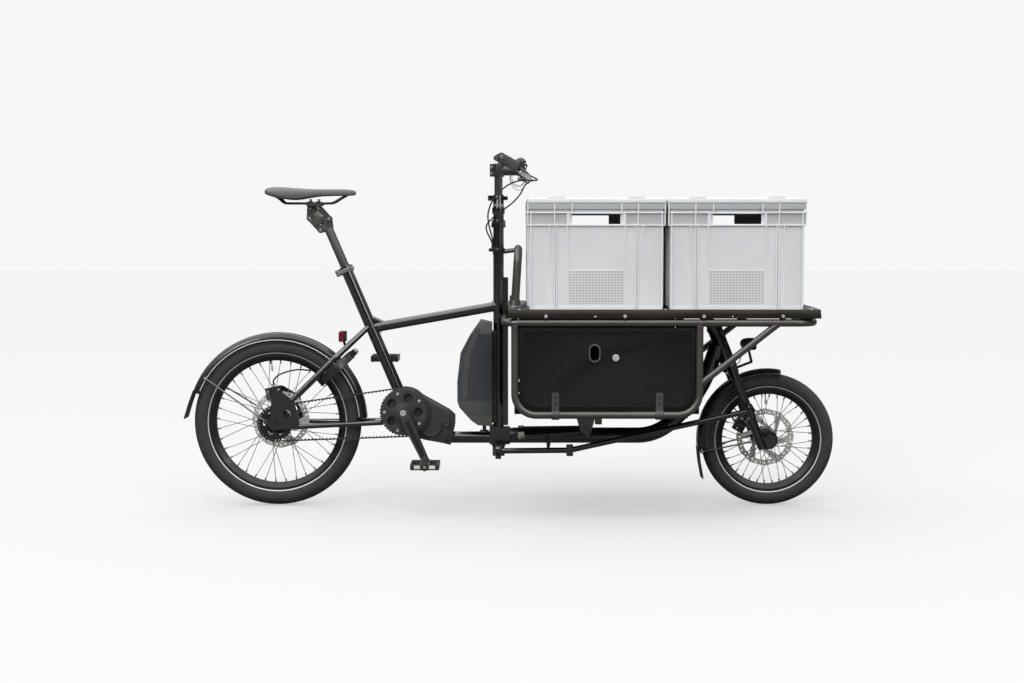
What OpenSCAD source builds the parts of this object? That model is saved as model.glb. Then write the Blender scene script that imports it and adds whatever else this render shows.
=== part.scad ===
// Cargo bicycle: a long low boom carries a deck rack over two side lockers, the front wheel is
// steered by a tie rod from the mast, and a belt drives the rear wheel.
// +X forward, +Y to the rider's left, +Z up. The origin is on the ground below the middle.

/* [Stance] */
// Distance between the wheel axles
wheelbase = 1514; // [1490:1:1560]
// Distance from the crank axis to the rear axle
crank_set_back = 392.5; // [385:0.5:400]
// Height of the crank axis
crank_h = 293; // [288:1:300]
// Distance from the rear axle to the mast
mast_set_back = 682.5; // [676:0.5:690]
// Height of the boom's centre line
boom_h = 215; // [212:1:218]

/* [Wheels] */
// Outer radius of the rear tyre
rear_tyre_r = 258; // [254:1:260]
// Width of the rear tyre
rear_tyre_w = 54; // [48:1:56]
// Outer radius of the front tyre
front_tyre_r = 204; // [200:1:206]
// Width of the front tyre
front_tyre_w = 50; // [44:1:52]
// Thickness of the tyre casing
tyre_wall = 4; // [3:0.5:6]
// Depth of a rim
rim_depth = 20; // [16:1:24]
// Width of a rim
rim_w = 36; // [30:1:38]
// Spokes in each wheel
spoke_count = 36; // [24:12:36]
// Diameter of a spoke
spoke_d = 2; // [1.8:0.1:2.2]
// Radius of the brake rotors
rotor_r = 90; // [80:1:92]
// Thickness of the brake rotors
rotor_t = 2; // [1.6:0.1:2.4]
// Diameter of the wheel axles
axle_d = 12; // [10:1:13]
// Gap between the rear dropouts
rear_hub_gap = 140; // [138:1:142]
// Gap between the front dropouts
front_hub_gap = 100; // [99:1:102]

/* [Rear frame] */
// Angle of the seat tube from the vertical
seat_angle = 23.1; // [22:0.1:24]
// Length of the seat tube
seat_tube_l = 415; // [400:1:430]
// Outer diameter of the seat tube
seat_tube_d = 34.9; // [33:0.1:36]
// Diameter of the seat post
post_d = 27.2; // [26:0.1:28]
// Diameter of the top tube
top_tube_d = 30; // [26:1:34]
// Diameter of the seat stays
seat_stay_d = 17; // [14:0.5:18]
// Diameter of the chain stays
chain_stay_d = 15; // [12:0.5:16]
// Thickness of the dropout plates
dropout_t = 6; // [5:0.5:8]
// Radius of the motor casing round the crank axis
casing_r = 70; // [66:1:72]
// Width of the motor casing
casing_w = 92; // [84:1:94]

/* [Boom and mast] */
// Diameter of the boom behind the mast
rear_boom_d = 36; // [32:1:40]
// Diameter of the boom in front of the mast
boom_d = 48; // [44:1:50]
// Radius of the boom's first bend
bend_r_1 = 150; // [150:1:155]
// Radius of the boom's second bend
bend_r_2 = 400; // [398:1:402]
// Angle of the boom's first bend
bend_a_1 = 38; // [38:1:39]
// Angle of the boom's second bend
bend_a_2 = 34; // [33:1:34]
// Outer diameter of the mast tube
mast_d = 32.5; // [31:0.1:33]
// Length of the sleeve above the mast
sleeve_l = 86; // [83:1:97]
// Diameter of the steering column
column_d = 27.8; // [27.6:0.1:28]
// Wall of the mast tube
tube_wall = 1.8; // [1.5:0.1:2]

/* [Steering] */
// Angle of the steering axis from level
head_angle = 68.5; // [67.5:0.1:69.5]
// Distance of the front axle ahead of the steering axis
fork_offset = 28; // [26:0.5:30]
// Height of the head tube's top above the front tyre
head_rise = 136; // [132:1:138]
// Length of the head tube
head_tube_l = 110; // [104:1:112]
// Outer diameter of the head tube
head_tube_d = 46; // [44:1:48]
// Diameter of the fork steerer
steerer_d = 28.6; // [28:0.1:30]
// Length of both steering arms
arm_l = 128; // [126:1:130]
// Height of the rear ball of the tie rod
rod_rear_h = 183; // [181:1:185]
// Height of the front ball of the tie rod
rod_front_h = 305; // [302:1:308]
// Diameter of the tie rod
rod_d = 17; // [14:1:18]
// Clearance at the open front ball of the tie rod
ball_gap = 3; // [3:0.5:4]
// Distance between the fork legs
fork_span = 124; // [122:1:126]
// Diameter of the fork legs
fork_leg_d = 28; // [26:1:29]

/* [Handlebar] */
// Height of the handlebar's middle above the deck
bar_rise = 411; // [401:1:416]
// Width of the handlebar over the grips
bar_span = 600; // [580:1:610]
// Diameter of the handlebar
bar_d = 22.2; // [21:0.1:24]
// Length of a grip
grip_l = 130; // [120:1:136]
// Diameter of the handlebar post
bar_post_d = 25; // [24:0.1:25.2]
// Outer diameter of the sleeve under the handlebar
sleeve_d = 32.6; // [31:0.1:34]
// Length of handlebar post above the sleeve
post_show = 73; // [70:1:80]

/* [Drive] */
// Length of a crank
crank_l = 167; // [160:1:172]
// Angle of the right crank from straight down
crank_angle = 24.7; // [15:0.1:35]
// Teeth on the front sprocket
front_teeth = 42; // [40:1:44]
// Teeth on the rear sprocket
rear_teeth = 30; // [28:1:32]
// Pitch of the belt
belt_pitch = 11; // [10.8:0.1:11.2]
// Width of the belt
belt_w = 10; // [8:1:11]
// Thickness of the belt's band
belt_t = 3; // [2:0.5:4]

/* [Saddle] */
// Length of seat post above the seat tube
post_out = 125; // [110:1:130]
// Length of the suspension links
link_l = 50; // [46:1:52]
// Length of the saddle
saddle_l = 276; // [260:1:285]
// Width of the saddle
saddle_w = 156; // [140:1:170]

/* [Cargo frame] */
// Height of the deck's top above the head tube
deck_rise = 75; // [73:1:80]
// Length of the deck
deck_l = 908; // [900:1:912]
// Width of the cargo frame
rack_w = 600; // [590:1:606]
// Thickness of the deck board
board_t = 12; // [9:1:14]
// Diameter of the cargo frame's tubes
rack_tube_d = 22; // [20:1:24]
// Length of a locker between its upright tubes
locker_l = 537; // [530:1:540]
// Height of the locker's lower rail
lower_rail_h = 311; // [308:1:316]
// Thickness of a hatch panel
hatch_t = 6; // [4:1:8]
// Diameter of the guard hoop
guard_d = 24; // [22:1:26]
// Width of the guard hoop
guard_w = 360; // [340:1:380]
// Height of the guard hoop
guard_rise = 172; // [165:1:175]

/* [Boxes] */
// Length of a box across the bicycle
box_l = 600; // [590:1:610]
// Width of a box along the bicycle
box_w = 400; // [390:1:402]
// Height of a box without its lid
box_h = 315; // [300:1:318]
// Thickness of a box wall
box_wall = 4; // [3:0.5:5]
// Height of a lid above its box
lid_h = 9; // [7:0.5:10]

/* [Hidden] */
$fn = 48;

gloss = [0.06, 0.06, 0.07];
satin = [0.13, 0.13, 0.14];
dark_grey = [0.25, 0.25, 0.26];
mid_grey = [0.42, 0.42, 0.43];
silver = [0.78, 0.78, 0.79];
steel = [0.66, 0.67, 0.69];
rubber = [0.09, 0.09, 0.09];
box_grey = [0.74, 0.76, 0.77];
red = [0.7, 0.05, 0.05];

slip = 0.05; // radial clearance of a shaft in its bearing
gap = 0.3; // gap between two bodies that pass each other
cut = 1; // how far a cutter runs past a face
knee = 1.02; // radius of a knee's ball to its rod's

// ---- helpers ----
function at(p, y) = [p[0], y, p[1]];
function unit(v) = v / norm(v);
function mirror_y(p) = [p[0], -p[1], p[2]];

module rod(p, q, r) {
  d = q - p;
  length = norm(d);
  translate(p) rotate([0, acos(d[2] / length), atan2(d[1], d[0])]) cylinder(h = length, r = r);
}

// a chain of rods with round knees that stand a little proud
module rod_chain(points, r) {
  for (i = [0 : len(points) - 2]) rod(points[i], points[i + 1], r);
  for (i = [1 : 1 : len(points) - 2]) translate(points[i]) sphere(r = knee * r);
}

// a disc or bore along Y, from y0 to y1
module disc_y(p, y0, y1, r) {
  translate([p[0], y0, p[1]]) rotate([-90, 0, 0]) cylinder(h = y1 - y0, r = r);
}

// an outline in the XZ plane, extruded from y0 to y1
module slab_y(y0, y1) {
  translate([0, y1, 0]) rotate([90, 0, 0]) linear_extrude(height = y1 - y0) children();
}

module head_tube_solid() {
  rod(at(head_foot, 0), at(head_top, 0), head_tube_d / 2);
}

module seat_tube_solid() {
  rod(at(seat_pt(0), 0), at(seat_top, 0), seat_tube_r);
}

module mast_solid() {
  translate([mast_x, 0, 0]) cylinder(h = mast_top_h, r = mast_r);
}

module both_sides() {
  children();
  mirror([0, 1, 0]) children();
}

// ---- places that the pieces share ----
head_top_h = 2 * front_tyre_r + head_rise;
deck_h = head_top_h + deck_rise;
bar_h = deck_h + bar_rise;
sleeve_top_h = bar_h - post_show;
mast_top_h = sleeve_top_h - sleeve_l;
flap_r = rear_tyre_r + 29;
rear_axle = [(flap_r - wheelbase - front_tyre_r) / 2, rear_tyre_r];
front_axle = [rear_axle[0] + wheelbase, front_tyre_r];
crank_axis = [rear_axle[0] + crank_set_back, crank_h];
mast_x = rear_axle[0] + mast_set_back;
seat_foot = crank_axis + [-20, 63];
seat_dir = [-sin(seat_angle), cos(seat_angle)];
function seat_pt(s) = seat_foot + s * seat_dir;
seat_top = seat_pt(seat_tube_l);
mast_r = mast_d / 2;
boom_r = boom_d / 2;

// steering axis: x at a height z
function steer_x(z) = front_axle[0] - fork_offset / sin(head_angle) - (z - front_axle[1]) / tan(head_angle);
steer_up = [-cos(head_angle), sin(head_angle)];
steer_front = [sin(head_angle), cos(head_angle)];
head_top = [steer_x(head_top_h), head_top_h];
head_foot = head_top - head_tube_l * steer_up;

// deck and locker
deck_x0 = mast_x + 30;
deck_x1 = deck_x0 + deck_l;
board_low = deck_h - board_t;
edging_low = board_low - 14;
rail_h = edging_low - 2 - rack_tube_d / 2;
rack_y = rack_w / 2;
rack_r = rack_tube_d / 2;
hoop_x0 = mast_x + 50;
hoop_x1 = hoop_x0 + locker_l;

// ---- rear frame ----
post_bore_r = post_d / 2 + slip;
seat_tube_r = seat_tube_d / 2;
collar_wall = 4.5;
collar_h = 20;
casing_outline = [
  [48, 49], [138, -1], [155, -17], [155, -45], [143, -103], [118, -97], [68, -88], [-25, -65]
];

module casing_shape() {
  translate(crank_axis) {
    circle(r = casing_r);
    polygon(casing_outline);
  }
}

module casing_cutter() {
  slab_y(-casing_w / 2, casing_w / 2) casing_shape();
}

module seat_tube() {
  ear_x = seat_tube_r + collar_wall + 5;
  color(gloss) difference() {
    union() {
      seat_tube_solid();
      // clamp collar with two ears
      translate(at(seat_pt(seat_tube_l - collar_h - 2), 0)) rotate([0, -seat_angle, 0]) {
        cylinder(h = collar_h, r = seat_tube_r + collar_wall);
        translate([-ear_x - 6, -ear_half, 0]) cube([ear_x, 2 * ear_half, collar_h]);
      }
    }
    rod(at(seat_pt(-cut), 0), at(seat_pt(seat_tube_l + cut), 0), post_bore_r);
    translate(at(seat_pt(seat_tube_l - collar_h - 2), 0)) rotate([0, -seat_angle, 0]) {
      translate([-2 * ear_x, -1.5, -10]) cube([2 * ear_x, 3, 2 * collar_h + 10]);
      translate([-ear_x, -10, collar_h / 2]) rotate([-90, 0, 0]) cylinder(h = 20, r = skewer_r + gap);
    }
    casing_cutter();
  }
  seat_clamp_frame() skewer(seat_pin_y);
}

module top_tube() {
  r = top_tube_d / 2;
  rear_end = seat_pt(208);
  strut_foot = seat_pt(250);
  color(gloss) difference() {
    union() {
      rod(at(rear_end, 0), [mast_x, 0, deck_h - 3], r);
      rod(at(strut_foot, 0), at(rear_end, 0) + [52, 0, 8], 8);
    }
    seat_tube_solid();
    translate([mast_x, 0, boom_h]) cylinder(h = mast_top_h, r = mast_r);
  }
}

stay_y = rear_hub_gap / 2 + dropout_t / 2;
caliper_post = [-2, rotor_r + 8];
bridge = seat_pt(178) + [-92, -33];
seat_stay_head = seat_pt(210) + [-11, 0];
seat_stay_foot = rear_axle + [52, 73];
stay_knee = bridge + [-25, -25];
chain_stay_foot = rear_axle + [73, -8];

module rear_triangle() {
  bridge_y = 56;
  color(gloss) {
    difference() {
      union() {
        both_sides() {
          rod_chain([at(seat_stay_head, 10), at(stay_knee, stay_y), at(seat_stay_foot, stay_y)],
            seat_stay_d / 2);
          rod_chain([at(chain_stay_foot, stay_y), at(crank_axis, 0) + [-casing_r + 6, 36, -35]],
            chain_stay_d / 2);
          slab_y(rear_hub_gap / 2, rear_hub_gap / 2 + dropout_t) dropout_outline();
        }
        disc_y(bridge, -bridge_y, bridge_y, 7);
        // fender stop below the bridge
        slab_y(-6, 6) polygon([bridge + [-4, 0], bridge + [4, -4], bridge + [-20, -30], bridge + [-27, -22]]);
        // caliper posts on the left dropout
        disc_y(rear_axle + caliper_post, rotor_y - 8, stay_y, 6);
      }
      seat_tube_solid();
      casing_cutter();
      fender_solid(rear_axle, rear_fender_r, rear_fender_w, -2, 178);
      disc_y(rear_axle, -stay_y - 20, stay_y + 20, axle_d / 2);
      // eyelets for a luggage carrier
      for (side = [-1, 1]) disc_y(rear_axle + eyelet, side * stay_y - 10, side * stay_y + 10, 2.6);
    }
  }
  // axle with its spacers and nuts
  color(silver) {
    disc_y(rear_axle, -stay_y - 16, stay_y + 16, axle_d / 2);
    both_sides() difference() {
      disc_y(rear_axle, stay_y + dropout_t / 2, stay_y + 12, 10);
      disc_y(rear_axle, 0, stay_y + 20, axle_d / 2);
    }
  }
}

eyelet = [-26, 8];
module dropout_outline() {
  difference() {
    union() {
      translate(rear_axle) circle(r = 18);
      translate(rear_axle + eyelet) circle(r = 9);
      translate(seat_stay_foot) circle(r = 9);
      translate(chain_stay_foot) circle(r = 8);
      polygon([
        rear_axle + [-14, 13], rear_axle + [-9, 104], rear_axle + [6, 104], seat_stay_foot + [-6, 7],
        seat_stay_foot + [8, -4], chain_stay_foot + [4, 7], chain_stay_foot + [0, -8], rear_axle + [6, -17],
        rear_axle + eyelet + [-4, -8]
      ]);
    }
    // window between the two stays
    translate(rear_axle + [38, 32]) circle(r = 12);
  }
}

module motor_unit() {
  cover_r = casing_r - 12;
  cover_t = 3;
  color(satin) difference() {
    union() {
      casing_cutter();
      both_sides() disc_y(crank_axis, casing_w / 2, casing_w / 2 + cover_t, cover_r);
    }
    disc_y(crank_axis, -casing_w, casing_w, spindle_r + slip);
  }
}

// ---- boom: rear tube, lug round the mast, front tube with two bends ----
lug_x0 = mast_x - 28;
lug_x1 = mast_x + 17;
rear_boom_h = boom_h - 6;
bend_x0 = front_axle[0] - 401;
stand_pivot = [mast_x + 268, boom_h + 17];
stand_tube_r = 10;
weld = 4;

module boom_bend(from, start_a, bend_a, bend_r) {
  centre = from + bend_r * [-sin(start_a), cos(start_a)];
  translate(at(centre, 0)) rotate([90, 0, 0]) rotate([0, 0, start_a - 90])
    rotate_extrude(angle = bend_a) translate([bend_r, 0]) circle(r = boom_r);
}

function bend_end(from, start_a, bend_a, bend_r) =
  from + bend_r * [sin(start_a + bend_a) - sin(start_a), cos(start_a) - cos(start_a + bend_a)];

knee_0 = [bend_x0, boom_h];
knee_1 = bend_end(knee_0, 0, bend_a_1, bend_r_1);

module boom() {
  knee_2 = bend_end(knee_1, bend_a_1, bend_a_2, bend_r_2);
  last_a = bend_a_1 + bend_a_2;
  along = [[cos(bend_a_1), sin(bend_a_1)], [cos(last_a), sin(last_a)]];
  color(gloss) difference() {
    union() {
      rod([crank_axis[0] + 141, 0, rear_boom_h], [mast_x, 0, rear_boom_h], rear_boom_d / 2);
      rod([mast_x, 0, boom_h], at(knee_0, 0), boom_r);
      boom_bend(knee_0, 0, bend_a_1, bend_r_1);
      // welds
      rod(at(knee_1 - weld * along[0], 0), at(knee_1 + weld * along[0], 0), boom_r + 0.6);
      rod(at(knee_2 - weld * along[1], 0), at(knee_2 + weld * along[1], 0), boom_r + 0.6);
      boom_bend(knee_1, bend_a_1, bend_a_2, bend_r_2);
      rod(at(knee_2, 0), at(knee_2 + 60 * [cos(last_a), sin(last_a)], 0), boom_r);
      // cast lug
      slab_y(-28, 28) polygon([
        [lug_x0, boom_h - 25], [lug_x1 + 18, boom_h - 25], [lug_x1 + 18, boom_h + 25], [lug_x1, boom_h + 25],
        [mast_x, boom_h + 31], [lug_x0, boom_h + 31]
      ]);
      // cross tube that carries the stand
      disc_y(stand_pivot, -62, 62, stand_tube_r);
    }
    translate([mast_x, 0, 0]) cylinder(h = deck_h, r = mast_r);
    head_tube_solid();
    casing_cutter();
  }
}

module head_tube() {
  cup_r = head_tube_d / 2 + 2;
  cup_h = 8;
  color(gloss) difference() {
    union() {
      head_tube_solid();
      rod(at(head_foot + 2 * steer_up, 0), at(head_foot - cup_h * steer_up, 0), cup_r);
      rod(at(head_top - 2 * steer_up, 0), at(head_top + cup_h * steer_up, 0), cup_r);
    }
    rod(at(head_foot - 20 * steer_up, 0), at(head_top + 20 * steer_up, 0), steerer_d / 2 + slip);
  }
}

mast_foot_h = boom_h - 33;
cover_w = 18;
cover_low = boom_h + 32;
cover_top = deck_h + 85;
cover_front = deck_x0 - gap;

module mast() {
  bearing_h = 14;
  bearing_r = 22;
  bore_r = column_d / 2 + slip;
  color(gloss) difference() {
    union() {
      translate([mast_x, 0, mast_foot_h]) cylinder(h = 8, r = bearing_r);
      translate([mast_x, 0, mast_foot_h + 8]) cylinder(h = mast_top_h - bearing_h - mast_foot_h - 8, r = mast_r);
      translate([mast_x, 0, mast_top_h - bearing_h]) cylinder(h = bearing_h, r = bearing_r);
    }
    translate([mast_x, 0, mast_foot_h - cut]) cylinder(h = mast_top_h, r = bore_r);
    translate([mast_x, 0, mast_foot_h + bearing_h])
      cylinder(h = mast_top_h - mast_foot_h - 2 * bearing_h, r = mast_r - tube_wall);
  }
  // cable cover, open where the rack's cross bar passes
  color(dark_grey) difference() {
    translate([mast_x, -cover_w / 2, cover_low]) cube([cover_front - mast_x, cover_w, cover_top - cover_low]);
    mast_solid();
    translate([mast_x, -cover_w, rail_h - rack_r]) cube([100, 2 * cover_w, 2 * rack_r]);
  }
}

module battery() {
  half_w = 55;
  back = mast_x - 20;
  color(dark_grey) {
    slab_y(-half_w, half_w) polygon([
      [back, deck_h - 54], [back - 35, deck_h - 46], [back - 68, deck_h - 93], [back - 96, deck_h - 146],
      [back - 106, deck_h - 232], [back - 106, boom_h + 110], [back - 100, boom_h + 92],
      [back - 65, boom_h + 53], [back - 43, boom_h + 37], [back, boom_h + 34]
    ]);
    // dock rail on the mast
    difference() {
      translate([back, -15, boom_h + 40]) cube([14, 30, deck_h - boom_h - 120]);
      translate([mast_x, 0, 0]) cylinder(h = deck_h, r = mast_r);
    }
    // foot on the boom
    translate([back - 24, 0, rear_boom_h + rear_boom_d / 2 - 2]) difference() {
      union() {
        cylinder(h = boom_h + 36 - rear_boom_h - rear_boom_d / 2 + 2, r = 6);
        cylinder(h = 6, r = 14);
      }
      translate([-30, 0, 2 - rear_boom_d / 2]) rotate([0, 90, 0]) cylinder(h = 60, r = rear_boom_d / 2);
    }
  }
}

// ---- drive ----
front_pitch_r = front_teeth * belt_pitch / (2 * PI);
rear_pitch_r = rear_teeth * belt_pitch / (2 * PI);
belt_y = -58;
spindle_r = 11;
tooth_h = 3;

// side wall of a toothed wheel
module sprocket_shape(teeth, tip_r) {
  step = 360 / teeth;
  polygon([
    for (i = [0 : teeth - 1]) for (c = [[-0.36, -tooth_h], [-0.2, 0], [0.2, 0], [0.36, -tooth_h]])
      (tip_r + c[1]) * [cos((i + c[0]) * step), sin((i + c[0]) * step)]
  ]);
}

module belt() {
  d = crank_axis - rear_axle;
  lean = atan2(d[1], d[0]);
  spread = asin((front_pitch_r - rear_pitch_r) / norm(d));
  inner = [rear_pitch_r + gap, front_pitch_r + gap];
  color(rubber) difference() {
    slab_y(belt_y - belt_w / 2, belt_y + belt_w / 2) belt_loop(lean, spread, inner + [belt_t, belt_t]);
    slab_y(belt_y - belt_w, belt_y + belt_w) belt_loop(lean, spread, inner);
  }
}

module belt_loop(lean, spread, r) {
  up = lean + 90 + spread;
  down = lean - 90 - spread;
  translate(rear_axle) circle(r = r[0]);
  translate(crank_axis) circle(r = r[1]);
  polygon([
    rear_axle + r[0] * [cos(up), sin(up)], crank_axis + r[1] * [cos(up), sin(up)],
    crank_axis + r[1] * [cos(down), sin(down)], rear_axle + r[0] * [cos(down), sin(down)]
  ]);
}

module rear_sprocket() {
  color(steel) difference() {
    union() {
      slab_y(belt_y - belt_w / 2 - 1, belt_y + belt_w / 2 + 1) translate(rear_axle)
        sprocket_shape(rear_teeth, rear_pitch_r);
      disc_y(rear_axle, -rear_hub_gap / 2 + 1, -hub_half - gap, 17);
    }
    disc_y(rear_axle, -rear_hub_gap, 0, axle_d / 2 + slip);
    for (i = [0 : 5]) disc_y(rear_axle + 32 * [cos(60 * i), sin(60 * i)], -rear_hub_gap, 0, 8);
  }
}

crank_dir = [sin(crank_angle), -cos(crank_angle)];
crank_y = 74;
crank_t = 14;
pedal_axle_r = 5;
pedal_w = 96;

module crank_arm(dir, y0, y1) {
  d = atan2(dir[1], dir[0]);
  slab_y(y0, y1) translate(crank_axis) rotate(d) {
    circle(r = 19);
    translate([crank_l, 0]) circle(r = 13);
    polygon([[0, 17], [crank_l, 11], [crank_l, -11], [0, -17]]);
  }
}

module crankset() {
  pedal_out = crank_y + crank_t + pedal_w + 4;
  color(satin) {
    crank_arm(crank_dir, -crank_y - crank_t, -crank_y);
    crank_arm(-crank_dir, crank_y, crank_y + crank_t);
  }
  color(steel) {
    disc_y(crank_axis, -crank_y, crank_y, spindle_r);
    disc_y(crank_axis + crank_l * crank_dir, -pedal_out, -crank_y - crank_t, pedal_axle_r);
    disc_y(crank_axis - crank_l * crank_dir, crank_y + crank_t, pedal_out, pedal_axle_r);
  }
  color(satin) difference() {
    slab_y(belt_y - belt_w / 2 - 1, belt_y + belt_w / 2 + 1) translate(crank_axis) rotate(2)
      sprocket_shape(front_teeth, front_pitch_r);
    disc_y(crank_axis, -crank_y, 0, spindle_r);
    for (i = [0 : 4]) disc_y(crank_axis + 45 * [cos(72 * i), sin(72 * i)], -crank_y, 0, 14);
  }
  color(satin) difference() {
    disc_y(crank_axis, -crank_y, belt_y - belt_w / 2 - 1, 28);
    disc_y(crank_axis, -crank_y - cut, 0, spindle_r);
  }
}

// a pedal with an open cage round its axle barrel
module pedal(centre, side) {
  cage_l = 86;
  cage_h = 18;
  wall = 7;
  y0 = crank_y + crank_t + 2;
  color(satin) difference() {
    union() {
      difference() {
        translate([centre[0] - cage_l / 2, side > 0 ? y0 : -y0 - pedal_w, centre[1] - cage_h / 2])
          cube([cage_l, pedal_w, cage_h]);
        for (i = [-1, 1]) translate([centre[0] + i * 27 - 11, side > 0 ? y0 + wall : wall - y0 - pedal_w, 0])
          cube([22, pedal_w - 2 * wall, 2 * crank_h]);
      }
      disc_y(centre, side > 0 ? y0 : -y0 - pedal_w, side > 0 ? y0 + pedal_w : -y0, 12);
    }
    disc_y(centre, -300, 300, pedal_axle_r + slip);
  }
}

module pedal_right() { pedal(crank_axis + crank_l * crank_dir, -1); }
module pedal_left() { pedal(crank_axis - crank_l * crank_dir, 1); }

// ---- wheels ----
rotor_y = 58;
front_rotor_y = 41;
hub_half = 50;

module ring_y(axle, r0, r1, y0, y1) {
  difference() {
    disc_y(axle, y0, y1, r1);
    disc_y(axle, y0 - cut, y1 + cut, r0);
  }
}

module lathe_y(axle) {
  translate(at(axle, 0)) rotate([90, 0, 0]) rotate_extrude() children();
}

module tyre(axle, r, w) {
  seat = r - w + 6;
  color(rubber) lathe_y(axle) difference() {
    translate([r - w / 2, 0]) circle(r = w / 2);
    translate([r - w / 2, 0]) circle(r = w / 2 - tyre_wall);
    translate([0, -w]) square([seat, 2 * w]);
  }
}

module rim(axle, r, w) {
  seat = r - w + 6;
  half = rim_w / 2;
  color(gloss) lathe_y(axle) polygon([
    [seat, -half], [seat, half], [seat - 6, half], [seat - rim_depth, half / 2],
    [seat - rim_depth, -half / 2], [seat - 6, -half]
  ]);
}

// crossed spokes, half of them on each flange
module spokes(axle, rim_r, flange_r, y_right, y_left) {
  step = 360 / spoke_count;
  lean = 52;
  color(steel) for (i = [0 : spoke_count - 1]) {
    side = i % 2 == 0 ? 1 : -1;
    turn = floor(i / 2) % 2 == 0 ? 1 : -1;
    a = (i + 0.5) * step + ring_a;
    b = a + turn * lean;
    flange_y = side > 0 ? y_left : y_right;
    rod([axle[0] + flange_r * cos(b), flange_y + turn * (1.5 + spoke_d / 2), axle[1] + flange_r * sin(b)],
        [axle[0] + rim_r * cos(a), side * 2.5, axle[1] + rim_r * sin(a)], spoke_d / 2);
  }
}

module rotor(axle, y) {
  difference() {
    disc_y(axle, y - rotor_t / 2, y + rotor_t / 2, rotor_r);
    for (i = [0 : 5]) disc_y(axle + 47 * [cos(60 * i), sin(60 * i)], y - 5, y + 5, 15);
    for (i = [0 : 23]) disc_y(axle + (rotor_r - 8) * [cos(15 * i), sin(15 * i)], y - 5, y + 5, 3);
  }
}

module hub(axle, shell_r, flange_r, half, disc_at, flanges) {
  color(steel) difference() {
    union() {
      disc_y(axle, -half, disc_at + 3, shell_r);
      for (y = flanges) disc_y(axle, y - 1.5, y + 1.5, flange_r);
      rotor(axle, disc_at);
    }
    disc_y(axle, -2 * half, 2 * half, axle_d / 2 + slip);
  }
}

rear_flange_r = 32;
front_flange_r = 26;
rear_flanges = [-38, 32];
front_flanges = [-32, 24];

module rear_tyre() { tyre(rear_axle, rear_tyre_r, rear_tyre_w); }
module rear_rim() { rim(rear_axle, rear_tyre_r, rear_tyre_w); }
module rear_hub() { hub(rear_axle, 22, rear_flange_r + 3, hub_half, rotor_y, rear_flanges); }
module rear_spokes() {
  spokes(rear_axle, rear_tyre_r - rear_tyre_w + 6 - rim_depth, rear_flange_r, rear_flanges[0], rear_flanges[1]);
}
module front_tyre() { tyre(front_axle, front_tyre_r, front_tyre_w); }
module front_rim() { rim(front_axle, front_tyre_r, front_tyre_w); }
module front_hub() { hub(front_axle, 17, front_flange_r + 3, front_hub_gap / 2 - 3, front_rotor_y, front_flanges); }
module front_spokes() {
  spokes(front_axle, front_tyre_r - front_tyre_w + 6 - rim_depth, front_flange_r, front_flanges[0],
    front_flanges[1]);
}

// ---- fenders ----
rear_fender_r = rear_tyre_r + 18;
rear_fender_w = 64;
front_fender_r = front_tyre_r + 14;
front_fender_w = 62;
fender_t = 3;

module fender_profile(r, w) {
  corner = 18;
  translate([r - corner, corner - w / 2]) circle(r = corner);
  translate([r - corner, w / 2 - corner]) circle(r = corner);
  translate([r - corner, corner - w / 2]) square([corner, w - 2 * corner]);
  translate([r - 24, -w / 2]) square([24 - corner, w]);
}

module fender_sweep(axle, a0, a1) {
  translate(at(axle, 0)) rotate([90, 0, 0]) rotate([0, 0, a0]) rotate_extrude(angle = a1 - a0) children();
}

module fender_solid(axle, r, w, a0, a1) {
  fender_sweep(axle, a0, a1) fender_profile(r, w);
}

module fender_shell(axle, r, w, a0, a1) {
  fender_sweep(axle, a0, a1) difference() {
    fender_profile(r, w);
    translate([-fender_t, 0]) fender_profile(r, w - 2 * fender_t);
    translate([r - 26, fender_t - w / 2]) square([8, w - 2 * fender_t]);
  }
}

// a rubber flap below a fender's end
module flap(points, w) {
  color(rubber) slab_y(-w / 2, w / 2) polygon(points);
}

function polar(axle, r, a) = axle + r * [cos(a), sin(a)];

module rear_fender() {
  stay_end = polar(rear_axle, rear_fender_r - 20, 148);
  half = rear_fender_w / 2;
  color(gloss) fender_shell(rear_axle, rear_fender_r, rear_fender_w, 2.6, 160);
  flap([
    polar(rear_axle, rear_fender_r - 4, 159), polar(rear_axle, rear_fender_r + 0, 159),
    polar(rear_axle, rear_fender_r + 3, 168), rear_axle + [-flap_r, 12], rear_axle + [-flap_r + 4, 11],
    polar(rear_axle, rear_fender_r - 1, 168)
  ], rear_fender_w);
  // stays
  color(steel) both_sides() difference() {
    union() {
      rod(at(rear_axle + eyelet, stay_y + dropout_t / 2 + 4.6), at(stay_end, half + 2), 2.5);
      disc_y(rear_axle + eyelet, stay_y + dropout_t / 2, stay_y + dropout_t / 2 + 7, 6);
      disc_y(stay_end, half, half + 5, 6);
    }
    disc_y(rear_axle + eyelet, 0, 2 * stay_y, 2.6);
  }
}

leg_y = fork_span / 2;
module fork_leg_cutter() {
  both_sides() rod(at([steer_x(crown_h + 40), crown_h + 40], leg_y), at(leg_foot, leg_y), fork_leg_d / 2);
}

module front_fender() {
  stay_end = polar(front_axle, front_fender_r - 10, 190);
  half = front_fender_w / 2;
  color(gloss) fender_shell(front_axle, front_fender_r, front_fender_w, 80, 188);
  flap([
    polar(front_axle, front_fender_r - 4, 187), polar(front_axle, front_fender_r, 187),
    polar(front_axle, front_fender_r + 5, 198), polar(front_axle, front_fender_r + 18, 211),
    polar(front_axle, front_fender_r + 14, 211), polar(front_axle, front_fender_r + 1, 198)
  ], front_fender_w + 8);
  color(steel) difference() {
    both_sides() {
      rod([steer_x(front_tyre_r + 3), leg_y, front_tyre_r + 3], at(stay_end, half + 2), 2.5);
      disc_y(stay_end, half, half + 5, 6);
    }
    fork_leg_cutter();
  }
}

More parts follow.
